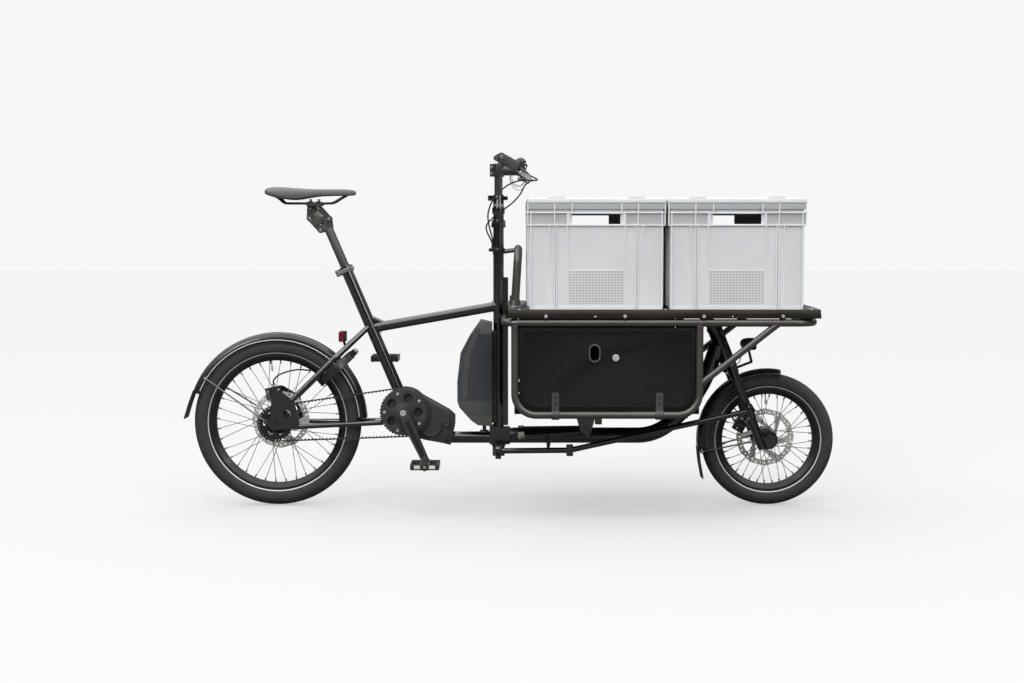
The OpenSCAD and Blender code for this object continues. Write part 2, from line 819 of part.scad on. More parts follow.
// ---- calipers ----
module caliper(axle, a, y) {
  slot = 2.4;
  color(dark_grey) difference() {
    translate(at(polar(axle, rotor_r - 3, a), y)) rotate([0, 90 - a, 0]) translate([-25, -13, -17])
      cube([50, 25, 34]);
    disc_y(axle, y - rotor_t / 2 - slot, y + rotor_t / 2 + slot, rotor_r + 4);
    children();
  }
}

module rear_caliper() {
  caliper(rear_axle, 103, rotor_y) {
    disc_y(rear_axle + caliper_post, 0, stay_y, 6);
  }
}

module front_caliper() {
  caliper(front_axle, 151, front_rotor_y) fork_leg_cutter();
  // posts to the left fork leg
  color(dark_grey) difference() {
    for (z = [238, 268]) rod([steer_x(z), leg_y - 4, z], [steer_x(z) - 24, front_rotor_y + 9, z + 2], 4.5);
    fork_leg_cutter();
    translate(at(polar(front_axle, rotor_r - 3, 151), front_rotor_y)) rotate([0, 90 - 151, 0])
      translate([-25, -13, -17]) cube([50, 25, 34]);
  }
}

// ---- tail lamp and ring lock ----
module tail_lamp() {
  lens_x = bridge[0] - 19;
  color(red) difference() {
    union() {
      translate([lens_x, -30, bridge[1] + 20]) cube([20, 60, 30]);
      both_sides() translate([lens_x + 14, 30, bridge[1] + 20]) cylinder(h = 30, r = 6);
    }
    translate([lens_x - 10, -100, 0]) cube([10, 200, 900]);
  }
  color(gloss) difference() {
    rod(at(bridge, 0), at(bridge + [-6, 20], 0), 4);
    disc_y(bridge, -100, 100, 7);
    translate([lens_x, -30, bridge[1] + 20]) cube([20, 60, 30]);
  }
}

ring_a = 42.2;
ring_centre = polar(rear_axle, rear_tyre_r - 19, ring_a);
ring_inner_r = 50;
ring_outer_r = 72;
ring_t = 25;
ring_gap_a = 35;
bolt_r = 4;
bolt_path_r = (ring_inner_r + ring_outer_r) / 2;

// local x towards the hub, local y to the left, local z across the ring
module ring_frame() {
  translate(at(ring_centre, 0)) rotate([0, 180 - ring_a, 0]) children();
}

module ring_arc(a0, a1) {
  rotate([0, 0, a0]) rotate_extrude(angle = a1 - a0) children();
}

module ring_lock() {
  color(gloss) difference() {
    ring_frame() difference() {
      union() {
        ring_arc(ring_gap_a, 360 - ring_gap_a) translate([ring_inner_r, -ring_t / 2])
          square([ring_outer_r - ring_inner_r, ring_t]);
        translate([-ring_outer_r - 14, -14, -10]) cube([20, 28, 20]);
        both_sides() translate([-9, ring_outer_r - 14, -26]) cube([18, 13, 20]);
      }
      ring_arc(ring_gap_a - 6, 136) translate([bolt_path_r, 0]) circle(r = bolt_r + gap);
      ring_arc(ring_gap_a - 6, 136) translate([bolt_path_r - 2.5, 0]) square([5, ring_t]);
      ring_arc(-ring_gap_a - 12, 6 - ring_gap_a) translate([bolt_path_r, 0]) circle(r = bolt_r + gap);
    }
    both_sides() rod(at(stay_knee, stay_y), at(seat_stay_foot, stay_y), seat_stay_d / 2);
  }
  // key cylinder
  color(silver) ring_frame() translate([-ring_outer_r - 20, 0, 0]) rotate([0, 90, 0]) cylinder(h = 6, r = 8);
}

module ring_bolt() {
  color(silver) ring_frame() {
    ring_arc(ring_gap_a + 2, 126) translate([bolt_path_r, 0]) circle(r = bolt_r);
    rotate([0, 0, 121]) translate([bolt_path_r, 0, 0]) cylinder(h = ring_t / 2 + 8, r = 2);
  }
}

// ---- deck ----
screw_step = 229;
module deck_board() {
  color(satin) translate([deck_x0, -rack_y - 5, board_low]) cube([deck_l, rack_w + 10, board_t]);
}

module screw_places() {
  for (x = [deck_x0 + 110 : screw_step : deck_x1 - 60]) translate([x, 0, 0]) children();
}

module deck_edging() {
  edge_w = 30;
  lash_r = 4;
  out = rack_y + 10;
  color(mid_grey) {
    difference() {
      both_sides() translate([deck_x0, out - edge_w, edging_low]) cube([deck_l, edge_w, board_low - edging_low]);
      // lashing holes
      for (i = [-1, 1]) translate([lash_x + i * lash_step / 2, -2 * out, (edging_low + board_low) / 2])
        rotate([-90, 0, 0]) cylinder(h = 4 * out, r = lash_r);
    }
    // spacers on the top rail
    both_sides() screw_places() translate([0, rack_y, rail_h]) difference() {
      cylinder(h = edging_low - rail_h, r = 9);
      translate([-20, 0, 0]) rotate([0, 90, 0]) cylinder(h = 40, r = rack_r);
    }
    // lips at both ends
    slab_y(-120, 120) polygon([
      [deck_x0 + 4, deck_h], [deck_x0 + 50, deck_h], [deck_x0 + 50, deck_h + 9], [deck_x0 + 46, deck_h + 9],
      [deck_x0 + 4, deck_h + 2]
    ]);
    slab_y(-200, 200) polygon([
      [deck_x1 - 40, deck_h], [deck_x1, deck_h], [deck_x1, deck_h + 2], [deck_x1 - 36, deck_h + 11],
      [deck_x1 - 40, deck_h + 11]
    ]);
  }
  // lashing screws along both sides
  color(steel) both_sides() screw_places() translate([0, out, (edging_low + board_low) / 2])
    rotate([-90, 0, 0]) cylinder(h = 3, r = 5);
}

lash_x = (deck_x0 + deck_x1) / 2;
lash_step = 400;

// a quarter bend of a tube in the XY plane
module quarter_bend(bend_r, r) {
  rotate_extrude(angle = 90) translate([bend_r, 0]) circle(r = r);
}

rear_bar_x = mast_x + 20;
front_bar_x = deck_x1 - 12;
rear_bend_r = 40;
front_bend_r = 60;
brace_top = [hoop_x1 + 231, rail_h];
brace_foot = [hoop_x1, lower_rail_h + 88];

module rail_corner() {
  translate([rear_bar_x + rear_bend_r, rack_y - rear_bend_r, rail_h]) rotate([0, 0, 90])
    quarter_bend(rear_bend_r, rack_r);
}

module rack_frame() {
  x0 = rear_bar_x + rear_bend_r;
  x1 = front_bar_x - front_bend_r;
  color(satin) difference() {
    union() {
      both_sides() {
        rod([x0, rack_y, rail_h], [x1, rack_y, rail_h], rack_r);
        translate([x1, rack_y - front_bend_r, rail_h]) quarter_bend(front_bend_r, rack_r);
        rail_corner();
        difference() {
          rod(at(brace_foot, rack_y), at(brace_top, rack_y), 10);
          translate([hoop_x1, rack_y, lower_rail_h]) cylinder(h = 300, r = rack_r);
        }
        rod([head_top[0] - 35, 60, rail_h], [steer_x(head_top_h - 25), 12, head_top_h - 25], 8);
      }
      rod([rear_bar_x, rear_bend_r - rack_y, rail_h], [rear_bar_x, rack_y - rear_bend_r, rail_h], rack_r);
      rod([front_bar_x, front_bend_r - rack_y, rail_h], [front_bar_x, rack_y - front_bend_r, rail_h], rack_r);
      for (x = [hoop_x0 + locker_l / 2, head_top[0] - 35]) rod([x, -rack_y, rail_h], [x, rack_y, rail_h], 9);
    }
    mast_solid();
    head_tube_solid();
    rod(at(head_top - 20 * steer_up, 0), at(head_top + 40 * steer_up, 0), head_tube_d / 2 + 3);
  }
}

hoop_bend_r = 62;
module side_hoops() {
  top = rail_h;
  corner_h = lower_rail_h + hoop_bend_r;
  color(satin) both_sides() difference() {
    union() {
      for (x = [hoop_x0, hoop_x1]) rod([x, rack_y, corner_h], [x, rack_y, top], rack_r);
      rod([hoop_x0 + hoop_bend_r, rack_y, lower_rail_h], [hoop_x1 - hoop_bend_r, rack_y, lower_rail_h], rack_r);
      translate([hoop_x0 + hoop_bend_r, rack_y, corner_h]) rotate([90, 0, 0]) rotate([0, 0, 180])
        quarter_bend(hoop_bend_r, rack_r);
      translate([hoop_x1 - hoop_bend_r, rack_y, corner_h]) rotate([90, 0, 0]) rotate([0, 0, 270])
        quarter_bend(hoop_bend_r, rack_r);
    }
    rod([rear_bar_x + rear_bend_r, rack_y, rail_h], [deck_x1, rack_y, rail_h], rack_r);
    rail_corner();
  }
}

floor_t = 4;
floor_y = rack_y - 16;
member_h = 12;

module locker_shell() {
  floor_low = lower_rail_h + 1;
  wall_top = rail_h - rack_r - 2;
  notch_y = boom_r + 8;
  plate_y = 56;
  plate_t = 5;
  color(satin) difference() {
    union() {
      translate([hoop_x0, -floor_y, floor_low]) cube([locker_l, 2 * floor_y, floor_t]);
      for (x = [hoop_x0, hoop_x1]) translate([x - 1.5, -rack_y, floor_low])
        cube([3, rack_w, wall_top - floor_low]);
      // cross members under the floor
      for (x = [45, 178, 241, knee_1[0] + 11 - hoop_x0]) translate([hoop_x0 + x, -rack_y, floor_low - member_h])
        cube([22, rack_w, member_h]);
      // front post on the boom
      translate([knee_1[0] + 11, -7, knee_1[1] + 14]) cube([14, 14, floor_low - member_h - knee_1[1] - 14]);
      // hangers of the stand's cross tube
      both_sides() slab_y(plate_y, plate_y + plate_t) {
        polygon([
          [stand_pivot[0] - 36, floor_low - member_h], [stand_pivot[0] + 34, floor_low - member_h],
          [stand_pivot[0] + 15, stand_pivot[1] - 6], [stand_pivot[0] - 14, stand_pivot[1] - 6]
        ]);
        translate(stand_pivot) circle(r = 15);
      }
    }
    both_sides() {
      rod([hoop_x0 - 100, rack_y, lower_rail_h], [hoop_x1 + 100, rack_y, lower_rail_h], rack_r);
      for (x = [hoop_x0, hoop_x1]) translate([x, rack_y, lower_rail_h - 30]) cylinder(h = 400, r = rack_r);
      translate([hoop_x0 - 20, rack_y - 14, lower_rail_h - 30]) cube([40 + hoop_bend_r, 30, hoop_bend_r + 34]);
      translate([hoop_x1 - 20 - hoop_bend_r, rack_y - 14, lower_rail_h - 30])
        cube([40 + hoop_bend_r, 30, hoop_bend_r + 34]);
    }
    // notch round the boom
    translate([knee_1[0] + 27, -notch_y, floor_low - 2 * member_h]) cube([locker_l, 2 * notch_y, 78]);
    disc_y(stand_pivot, -100, 100, stand_tube_r);
    rod([mast_x, 0, boom_h], [bend_x0, 0, boom_h], boom_r);
    boom_bend(knee_0, 0, bend_a_1, bend_r_1);
    boom_bend(knee_1, bend_a_1, bend_a_2, bend_r_2);
  }
  // rubber stop of the stand
  color(mid_grey) translate([hoop_x0 + 256, -58, floor_low - member_h - 44]) cylinder(h = 44, r = 11);
}

module guard_hoop() {
  bend_r = 40;
  tube_r = guard_d / 2;
  half = guard_w / 2;
  top = guard_rise;
  lean = 3.6;
  foot_x = hoop_x0;
  color(satin) difference() {
    union() {
      translate([foot_x, 0, deck_h]) rotate([0, lean, 0]) {
        both_sides() {
          translate([0, half, -20]) cylinder(h = top - bend_r + 20, r = tube_r);
          translate([0, half - bend_r, top - bend_r]) rotate([90, 0, 90]) quarter_bend(bend_r, tube_r);
        }
        translate([0, bend_r - half, top]) rotate([-90, 0, 0]) cylinder(h = guard_w - 2 * bend_r, r = tube_r);
      }
      rod([mast_x, 0, deck_h + top - 10], [foot_x + 10, 0, deck_h + top - 2], 7);
    }
    mast_solid();
    translate([foot_x - 100, -rack_w, deck_h - 100]) cube([200, 2 * rack_w, 100 + 6]);
  }
  // feet screwed to the deck
  color(silver) both_sides() translate([foot_x, half, deck_h]) difference() {
    union() {
      cylinder(h = 6, r = 20);
      cylinder(h = 22, r = tube_r + 4);
    }
    translate([0, 0, 6]) rotate([0, lean, 0]) translate([0, 0, -0.5]) cylinder(h = 40, r = tube_r);
  }
}

// ---- quick-release clamps ----
skewer_r = 2.5;
cam_pin_r = 3.5;
ear_half = 9;

// local frame: the ears' hole is the origin, the skewer runs along Y, the lever points to +X
module skewer(pin_y) {
  color(steel) {
    rod([0, -ear_half - 5, 0], [0, pin_y, 0], skewer_r);
    translate([0, pin_y, -8]) cylinder(h = 16, r = cam_pin_r);
    difference() {
      union() {
        rod([0, -ear_half - 5, 0], [0, -ear_half, 0], 6);
        rod([0, ear_half, 0], [0, pin_y - 7, 0], 5);
      }
      rod([0, -50, 0], [0, 50, 0], skewer_r);
    }
  }
}

module cam_lever(pin_y) {
  lever_l = 56;
  half_h = 7;
  color(mid_grey) translate([0, pin_y, 0]) difference() {
    union() {
      translate([0, 0, -half_h]) cylinder(h = 2 * half_h, r = 6.5);
      translate([4, -2, -half_h + 1]) cube([lever_l - 12, 5, 2 * half_h - 2]);
      translate([lever_l - 8, 0.5, -half_h + 1]) cylinder(h = 2 * half_h - 2, r = 6);
    }
    translate([0, 0, -10]) cylinder(h = 20, r = cam_pin_r + slip);
    // slot for the end of the skewer
    translate([-10, -10, -skewer_r - gap]) cube([13.2, 20, 2 * (skewer_r + gap)]);
  }
}

// ---- steering ----
sleeve_r = sleeve_d / 2;
column_r = column_d / 2;
column_foot_h = mast_foot_h - 30;
mast_clamp = [mast_x - sleeve_r - 9, 0, sleeve_top_h - 10];
mast_pin_y = sleeve_r + 5;
rod_a = [mast_x, -arm_l, rod_rear_h];
rod_b = [steer_x(rod_front_h), -arm_l, rod_front_h];
rod_a_dir = unit([0, 0.0614, 0.9981]);
rod_b_dir = at(steer_up, 0);
eye_half = 6;
eye_r = 13;
stud_r = 5;

// a boss with the stud and nut of an eye above it
module ball_boss(p, dir) {
  rod(p - 24 * dir, p - (eye_half + gap) * dir, 9);
}

module ball_hole(p, dir) {
  rod(p - 16 * dir, p, stud_r);
}

module ball_stud(p, dir) {
  color(silver) {
    rod(p - 16 * dir, p + (eye_half + 6) * dir, stud_r);
    rod(p + (eye_half + gap) * dir, p + (eye_half + 6) * dir, 8);
  }
}

module steer_column() {
  post_r = bar_post_d / 2 + slip;
  sleeve_low = mast_top_h + gap;
  arm_h = mast_foot_h - 15;
  color(gloss) difference() {
    union() {
      translate([mast_x, 0, column_foot_h]) cylinder(h = mast_top_h + cut - column_foot_h, r = column_r);
      translate([mast_x, 0, column_foot_h]) cylinder(h = mast_foot_h - gap - column_foot_h, r = 19);
      translate([mast_x, 0, sleeve_low]) cylinder(h = sleeve_top_h - sleeve_low, r = sleeve_r);
      translate([mast_x, 0, sleeve_low]) cylinder(h = 8, r = 21);
      translate([mast_x, 0, sleeve_low + 28]) cylinder(h = 19, r = 19.5);
      rod([mast_x, 0, arm_h], [mast_x, 4 - arm_l, arm_h], 7);
      ball_boss(rod_a, rod_a_dir);
      // ears of the clamp
      translate([mast_clamp[0] - 7, -ear_half, mast_clamp[2] - 8])
        cube([sleeve_r + 8, 2 * ear_half, 16]);
    }
    translate([mast_x, 0, post_foot_h - 60]) cylinder(h = sleeve_top_h, r = post_r);
    translate([mast_clamp[0] - 20, -1.5, mast_clamp[2] - 9]) cube([36, 3, 30]);
    translate(mast_clamp) rod([0, -20, 0], [0, 20, 0], skewer_r);
    ball_hole(rod_a, rod_a_dir);
  }
  ball_stud(rod_a, rod_a_dir);
  translate(mast_clamp) skewer(mast_pin_y);
}

module mast_lever() {
  translate(mast_clamp) cam_lever(mast_pin_y);
}

module tie_rod() {
  bend = [mast_x + 216, -arm_l, rod_rear_h + 2];
  start = rod_a + 10.6 * unit(bend - rod_a);
  end = rod_b + 10.6 * unit(bend - rod_b);
  color(gloss) difference() {
    union() {
      rod(start, bend, rod_d / 2);
      rod(bend, end, rod_d / 2);
      rod(bend - [0, 0, rod_d], bend + [0, 0, rod_d], rod_d / 2 + 2);
      rod(rod_a - eye_half * rod_a_dir, rod_a + eye_half * rod_a_dir, eye_r);
      rod(rod_b - (eye_half - 1) * rod_b_dir, rod_b + (eye_half - 1) * rod_b_dir, eye_r);
    }
    rod(rod_a - 30 * rod_a_dir, rod_a + 30 * rod_a_dir, stud_r + slip);
    rod(rod_b - 30 * rod_b_dir, rod_b + 30 * rod_b_dir, stud_r + ball_gap);
  }
}

// ---- fork ----
crown = head_foot - 25.5 * steer_up;
crown_h = crown[1];
crown_r = 17;
race_r = 24;
leg_foot = front_axle - fork_offset * steer_front;
front_axle_out = leg_y + 12;

module fork() {
  r = fork_leg_d / 2;
  dropout_in = front_hub_gap / 2;
  collar_p = [steer_x(rod_front_h - 4), rod_front_h - 4];
  difference() {
    union() {
      color(gloss) difference() {
        union() {
          rod(at(crown, -leg_y), at(crown, leg_y), crown_r);
          both_sides() {
            rod(at(crown + 20 * steer_up, leg_y), at(leg_foot - 14 * steer_up, leg_y), r);
            slab_y(dropout_in, dropout_in + 18) {
              translate(front_axle) circle(r = 19);
              translate(leg_foot) circle(r = r);
              polygon([
                leg_foot + r * steer_up, front_axle + 19 * steer_up, front_axle - 19 * steer_up,
                leg_foot - r * steer_up
              ]);
            }
          }
          rod(at(crown, 0), at(head_top + 14 * steer_up, 0), steerer_d / 2);
          rod(at(crown, 0), at(head_foot - (8 + gap) * steer_up, 0), race_r);
          rod(at(head_top + (8 + gap) * steer_up, 0), at(head_top + 14 * steer_up, 0), 22);
        }
        disc_y(front_axle, -2 * leg_y, 2 * leg_y, axle_d / 2);
      }
      color(silver) {
        disc_y(front_axle, -front_axle_out, front_axle_out, axle_d / 2);
        both_sides() difference() {
          disc_y(front_axle, dropout_in + 18, front_axle_out - 1, 10);
          disc_y(front_axle, 0, 2 * leg_y, axle_d / 2);
        }
      }
    }
  }
  // steering arm on the right leg
  color(gloss) difference() {
    union() {
      rod(at(collar_p + 12 * steer_up, -leg_y), at(collar_p - 12 * steer_up, -leg_y), r + 4);
      rod(at(collar_p + 5 * steer_front, -leg_y - r), rod_b - 16 * rod_b_dir, 6);
      rod(at(collar_p + [0, -30], -leg_y - 6), rod_b - 17 * rod_b_dir, 5);
      ball_boss(rod_b, rod_b_dir);
    }
    rod(at(crown, -leg_y), at(leg_foot, -leg_y), r);
    ball_hole(rod_b, rod_b_dir);
  }
  ball_stud(rod_b, rod_b_dir);
}

module headlamp() {
  lamp = [front_axle[0] - 60, 498];
  stalk = [front_axle[0] - 50, crown_h + 25];
  color(gloss) difference() {
    union() {
      disc_y(lamp + [-7, 0], -25, 25, 16);
      rod(at(lamp + [-8, 0], 0), at(lamp + [20, 0], 0), 18.5);
      rod_chain([at(crown + [10, 4], 0), at(stalk, 0), at(lamp + [0, -14], 0)], 4);
    }
    rod(at(crown, -leg_y), at(crown, leg_y), crown_r);
    rod(at(crown, 0), at(head_foot - (8 + gap) * steer_up, 0), race_r);
  }
  color(silver) rod(at(lamp + [20, 0], 0), at(lamp + [22, 0], 0), 16.5);
}

// ---- handlebar ----
post_foot_h = sleeve_top_h - 180;
bar_x = mast_x + 68;
bar_r = bar_d / 2;
bar_mid = 60;
grip_in = [bar_x - 18, bar_span / 2 - grip_l, bar_h + 10];
grip_out = [bar_x - 59, bar_span / 2, bar_h + 28];
// lever frame: along the grip, towards the lever, and across
grip_dir = unit(grip_out - grip_in);
lever_dir = unit([0.712, 0.311, -0.63]);
lever_axis = unit(cross(grip_dir, lever_dir));
function lever_pt(x, y, z = 0) = grip_in + x * grip_dir + y * lever_dir + z * lever_axis;

module bar_post() {
  post_r = bar_post_d / 2;
  stem_r = 17.5;
  color(steel) translate([mast_x, 0, post_foot_h]) cylinder(h = bar_h + 20 - post_foot_h, r = post_r);
  color(gloss) difference() {
    union() {
      translate([mast_x, 0, bar_h - 18]) cylinder(h = 40, r = stem_r);
      translate([mast_x - stem_r - 9, -11, bar_h - 17]) cube([stem_r, 22, 38]);
      rod([mast_x, 0, bar_h], [bar_x, 0, bar_h], 14);
      rod([bar_x, -22, bar_h], [bar_x, 22, bar_h], bar_r + 6);
    }
    translate([mast_x, 0, bar_h - 30]) cylinder(h = 50, r = post_r);
    translate([mast_x - 40, -1, bar_h - 20]) cube([40, 2, 60]);
    rod([bar_x, -30, bar_h], [bar_x, 30, bar_h], bar_r);
    for (z = [-8, 11]) translate([mast_x - stem_r - 4, 0, bar_h + z]) rod([0, -20, 0], [0, 20, 0], 3);
  }
  color(steel) for (z = [-8, 11]) translate([mast_x - stem_r - 4, 0, bar_h + z])
    rod([0, -12, 0], [0, 12, 0], 3);
}

module handlebar() {
  half = [grip_out - 2 * grip_dir, grip_in, [bar_x, bar_mid, bar_h]];
  color(satin)
    rod_chain([for (p = half) mirror_y(p), for (i = [0 : 2]) half[2 - i]], bar_r);
}

module grips() {
  rest = [-15, 0, -2];
  color(rubber) both_sides() difference() {
    union() {
      rod(grip_in, grip_out, 16);
      // palm rest
      rod(grip_in + 58 * grip_dir + rest, grip_out - 3 * grip_dir + rest, 9);
    }
    rod(grip_in - grip_dir, grip_out - 2 * grip_dir, bar_r + slip);
    translate(grip_in) sphere(r = knee * bar_r + slip);
  }
}

lever_pin_r = 2.5;
module lever_housing() {
  difference() {
    union() {
      rod(lever_pt(-23, 0), lever_pt(-7, 0), 16);
      rod(lever_pt(-15, 10), lever_pt(-15, 32), 8);
      for (s = [-1, 1]) {
        rod(lever_pt(-14, 26, s * 7), lever_pt(-12, 42, s * 7), 2.5);
        rod(lever_pt(-12, 42, s * 5.3), lever_pt(-12, 42, s * 9), 6);
      }
      // cable stop
      rod(lever_pt(-15, 25), lever_pt(-34, 27), 5);
    }
    handlebar();
    rod(lever_pt(-12, 42, -12), lever_pt(-12, 42, 12), lever_pin_r);
    rod(lever_pt(-12, 42, -5.3), lever_pt(-12, 42, 5.3), 9);
  }
  rod(lever_pt(-12, 42, -9), lever_pt(-12, 42, 9), lever_pin_r);
}

bell_y = 42;
module bar_controls() {
  color(silver) both_sides() lever_housing();
  // bell and display
  color(satin) difference() {
    union() {
      for (y = [-bell_y, bell_y]) rod([bar_x, y - 6, bar_h], [bar_x, y + 6, bar_h], bar_r + 4);
      translate([bar_x, -bell_y, bar_h + bar_r + 2]) cylinder(h = 12, r = 5);
      translate([bar_x - 14, bell_y - 19, bar_h + bar_r + 6]) rotate([0, 15, 0]) cube([34, 52, 12]);
      translate([bar_x, bell_y, bar_h + bar_r]) cylinder(h = 12, r = 5);
    }
    handlebar();
    translate([bar_x, -bell_y, bar_h + bar_r + 11]) cylinder(h = 20, r = 17);
  }
  color(silver) translate([bar_x, -bell_y, bar_h + bar_r + 11]) difference() {
    sphere(r = 17);
    translate([0, 0, -20]) cube([60, 60, 40], center = true);
  }
}

module brake_lever() {
  r = 4.5;
  color(silver) difference() {
    union() {
      rod(lever_pt(-12, 42, -5), lever_pt(-12, 42, 5), 6);
      rod(lever_pt(-12, 42), lever_pt(2, 62), r + 0.4);
      rod(lever_pt(2, 62), lever_pt(88, 59), r);
      translate(lever_pt(2, 62)) sphere(r = 6);
      translate(lever_pt(88, 59)) sphere(r = 6.5);
    }
    rod(lever_pt(-12, 42, -12), lever_pt(-12, 42, 12), lever_pin_r + slip);
  }
}

module brake_lever_left() { brake_lever(); }
module brake_lever_right() { mirror([0, 1, 0]) brake_lever(); }

// ---- cables along smooth curves ----
function on_curve(a, b, c, d, t) =
  0.5 * (2 * b + (c - a) * t + (2 * a - 5 * b + 4 * c - d) * t * t + (3 * b - a - 3 * c + d) * t * t * t);
function curve(p, n) = [
  for (i = [0 : len(p) - 2]) for (j = [0 : n - 1])
    on_curve(p[max(i - 1, 0)], p[i], p[i + 1], p[min(i + 2, len(p) - 1)], j / n),
  p[len(p) - 1]
];
function heading(q, i) = unit(q[min(i + 1, len(q) - 1)] - q[max(i - 1, 0)]);
function level(q, i, m) = unit(m - (m * heading(q, i)) * heading(q, i));
function sides(q, i, m) = i == len(q) ? [] : concat([level(q, i, m)], sides(q, i + 1, level(q, i, m)));

module cable(route, r) {
  n = 8;
  q = curve(route, 5);
  m = sides(q, 0, [0.1, 0.2, 1]);
  last = len(q) - 1;
  polyhedron(
    points = [
      for (i = [0 : last]) for (k = [0 : n - 1])
        q[i] + r * (cos(360 * k / n) * m[i] + sin(360 * k / n) * cross(heading(q, i), m[i]))
    ],
    faces = concat(
      [[for (k = [0 : n - 1]) k]],
      [for (i = [0 : last - 1]) for (k = [0 : n - 1]) [i * n + k, (i + 1) * n + k, i * n + (k + 1) % n]],
      [for (i = [0 : last - 1]) for (k = [0 : n - 1])
        [(i + 1) * n + k, (i + 1) * n + (k + 1) % n, i * n + (k + 1) % n]],
      [[for (k = [0 : n - 1]) last * n + n - 1 - k]]
    ));
}

cable_r = 2.5;
mast_back = mast_x - mast_r - cable_r;
right_route = [
  [mast_x + 78, -142, bar_h - 12], [mast_x + 108, -112, bar_h - 24], [mast_x + 118, -78, bar_h - 30],
  [mast_x + 98, -44, bar_h - 30], [mast_x + 69, -32, bar_h - 30], [mast_x + 38, -29, bar_h - 39],
  [mast_x + 11, -28, bar_h - 58], [mast_x - 17, -25, bar_h - 90], [mast_x - 31, -14, bar_h - 126],
  [mast_x - 31, -6, bar_h - 156], [mast_x - 24, -4, bar_h - 187], [mast_back, -4, bar_h - 207],
  [mast_back, -4, bar_h - 222]
];
left_route = [
  [mast_x + 78, 142, bar_h - 12], [mast_x + 100, 114, bar_h - 22], [mast_x + 106, 80, bar_h - 30],
  [mast_x + 103, 50, bar_h - 44], [mast_x + 94, 34, bar_h - 58], [mast_x + 72, 30, bar_h - 73],
  [mast_x + 45, 30, bar_h - 95], [mast_x + 18, 30, bar_h - 116], [mast_x - 14, 27, bar_h - 140],
  [mast_x - 36, 14, bar_h - 164], [mast_x - 36, 6, bar_h - 184], [mast_x - 25, 4, bar_h - 208],
  [mast_back, 4, bar_h - 224], [mast_back, 4, bar_h - 238]
];

module control_cables() {
  color(rubber) {
    cable(right_route, cable_r);
    cable(left_route, cable_r);
  }
}

// ---- seat post with two links, and the saddle ----
post_r = post_d / 2;
post_in = 165;
post_head = seat_pt(seat_tube_l + post_out);
link_dir = [cos(132.6), sin(132.6)];
link_a = post_head + [-24, -4];
link_b = post_head + [2, 31];
link_pin_r = 4;
head_half = 8;
link_t = 5;
link_r = 8;

module seatpost() {
  color(satin) difference() {
    union() {
      rod(at(seat_pt(seat_tube_l - post_in), 0), at(post_head, 0), post_r);
      slab_y(-head_half, head_half) {
        translate(link_a) circle(r = 9);
        translate(link_b) circle(r = 9);
        polygon([
          link_a + [-7, -6], post_head + [12, -12], post_head + [14, 6], link_b + [9, 0], link_b + [-7, 6],
          link_a + [-8, 5]
        ]);
      }
    }
    for (p = [link_a, link_b]) disc_y(p, -30, 30, link_pin_r);
  }
  color(steel) for (p = [link_a, link_b]) disc_y(p, -head_half - link_t - 1, head_half + link_t + 1, link_pin_r);
}

module link(p) {
  q = p + link_l * link_dir;
  side = link_r * [-link_dir[1], link_dir[0]];
  both_sides() difference() {
    slab_y(head_half + gap, head_half + link_t) {
      translate(p) circle(r = link_r + 1);
      translate(q) circle(r = link_r + 1);
      polygon([p + side, q + side, q - side, p - side]);
    }
    for (e = [p, q]) disc_y(e, 0, 30, link_pin_r + slip);
  }
}

module link_front() {
  color(satin) {
    link(link_b);
    disc_y(link_b + link_l / 2 * link_dir, -head_half - gap, head_half + gap, 5);
  }
}

module link_rear() {
  color(satin) difference() {
    link(link_a);
    // the upper pivot stays open
    disc_y(link_a + link_l * link_dir, -30, 30, link_pin_r + 1);
  }
  // rubber spring
  color(mid_grey) disc_y(link_a + link_l / 2 * link_dir, -head_half - gap, head_half + gap, 7);
}

seat_clamp_p = seat_pt(seat_tube_l - collar_h / 2 - 2);
seat_pin_y = seat_tube_r + collar_wall + 5;
module seat_clamp_frame() {
  translate(at(seat_clamp_p, 0)) rotate([0, -seat_angle, 0])
    translate([-seat_tube_r - collar_wall - 5, 0, 0]) mirror([0, 1, 0]) children();
}

module seat_lever() {
  seat_clamp_frame() cam_lever(seat_pin_y);
}

saddle_x1 = post_head[0] + 85;
saddle_top = post_head[1] + 128;
rail_r = 3.5;

module saddle_plan() {
  half = saddle_w / 2;
  rear_x = saddle_x1 - saddle_l;
  translate([saddle_x1 - 18, 0]) circle(r = 18);
  both_sides() translate([rear_x + 34, half - 34]) circle(r = 34);
  both_sides() polygon([
    [rear_x + 8, 0], [rear_x, half - 34], [rear_x + 34, half], [rear_x + 60, half - 7],
    [rear_x + 110, 40], [rear_x + 160, 25], [saddle_x1 - 18, 18], [saddle_x1 - 18, 0]
  ]);
}

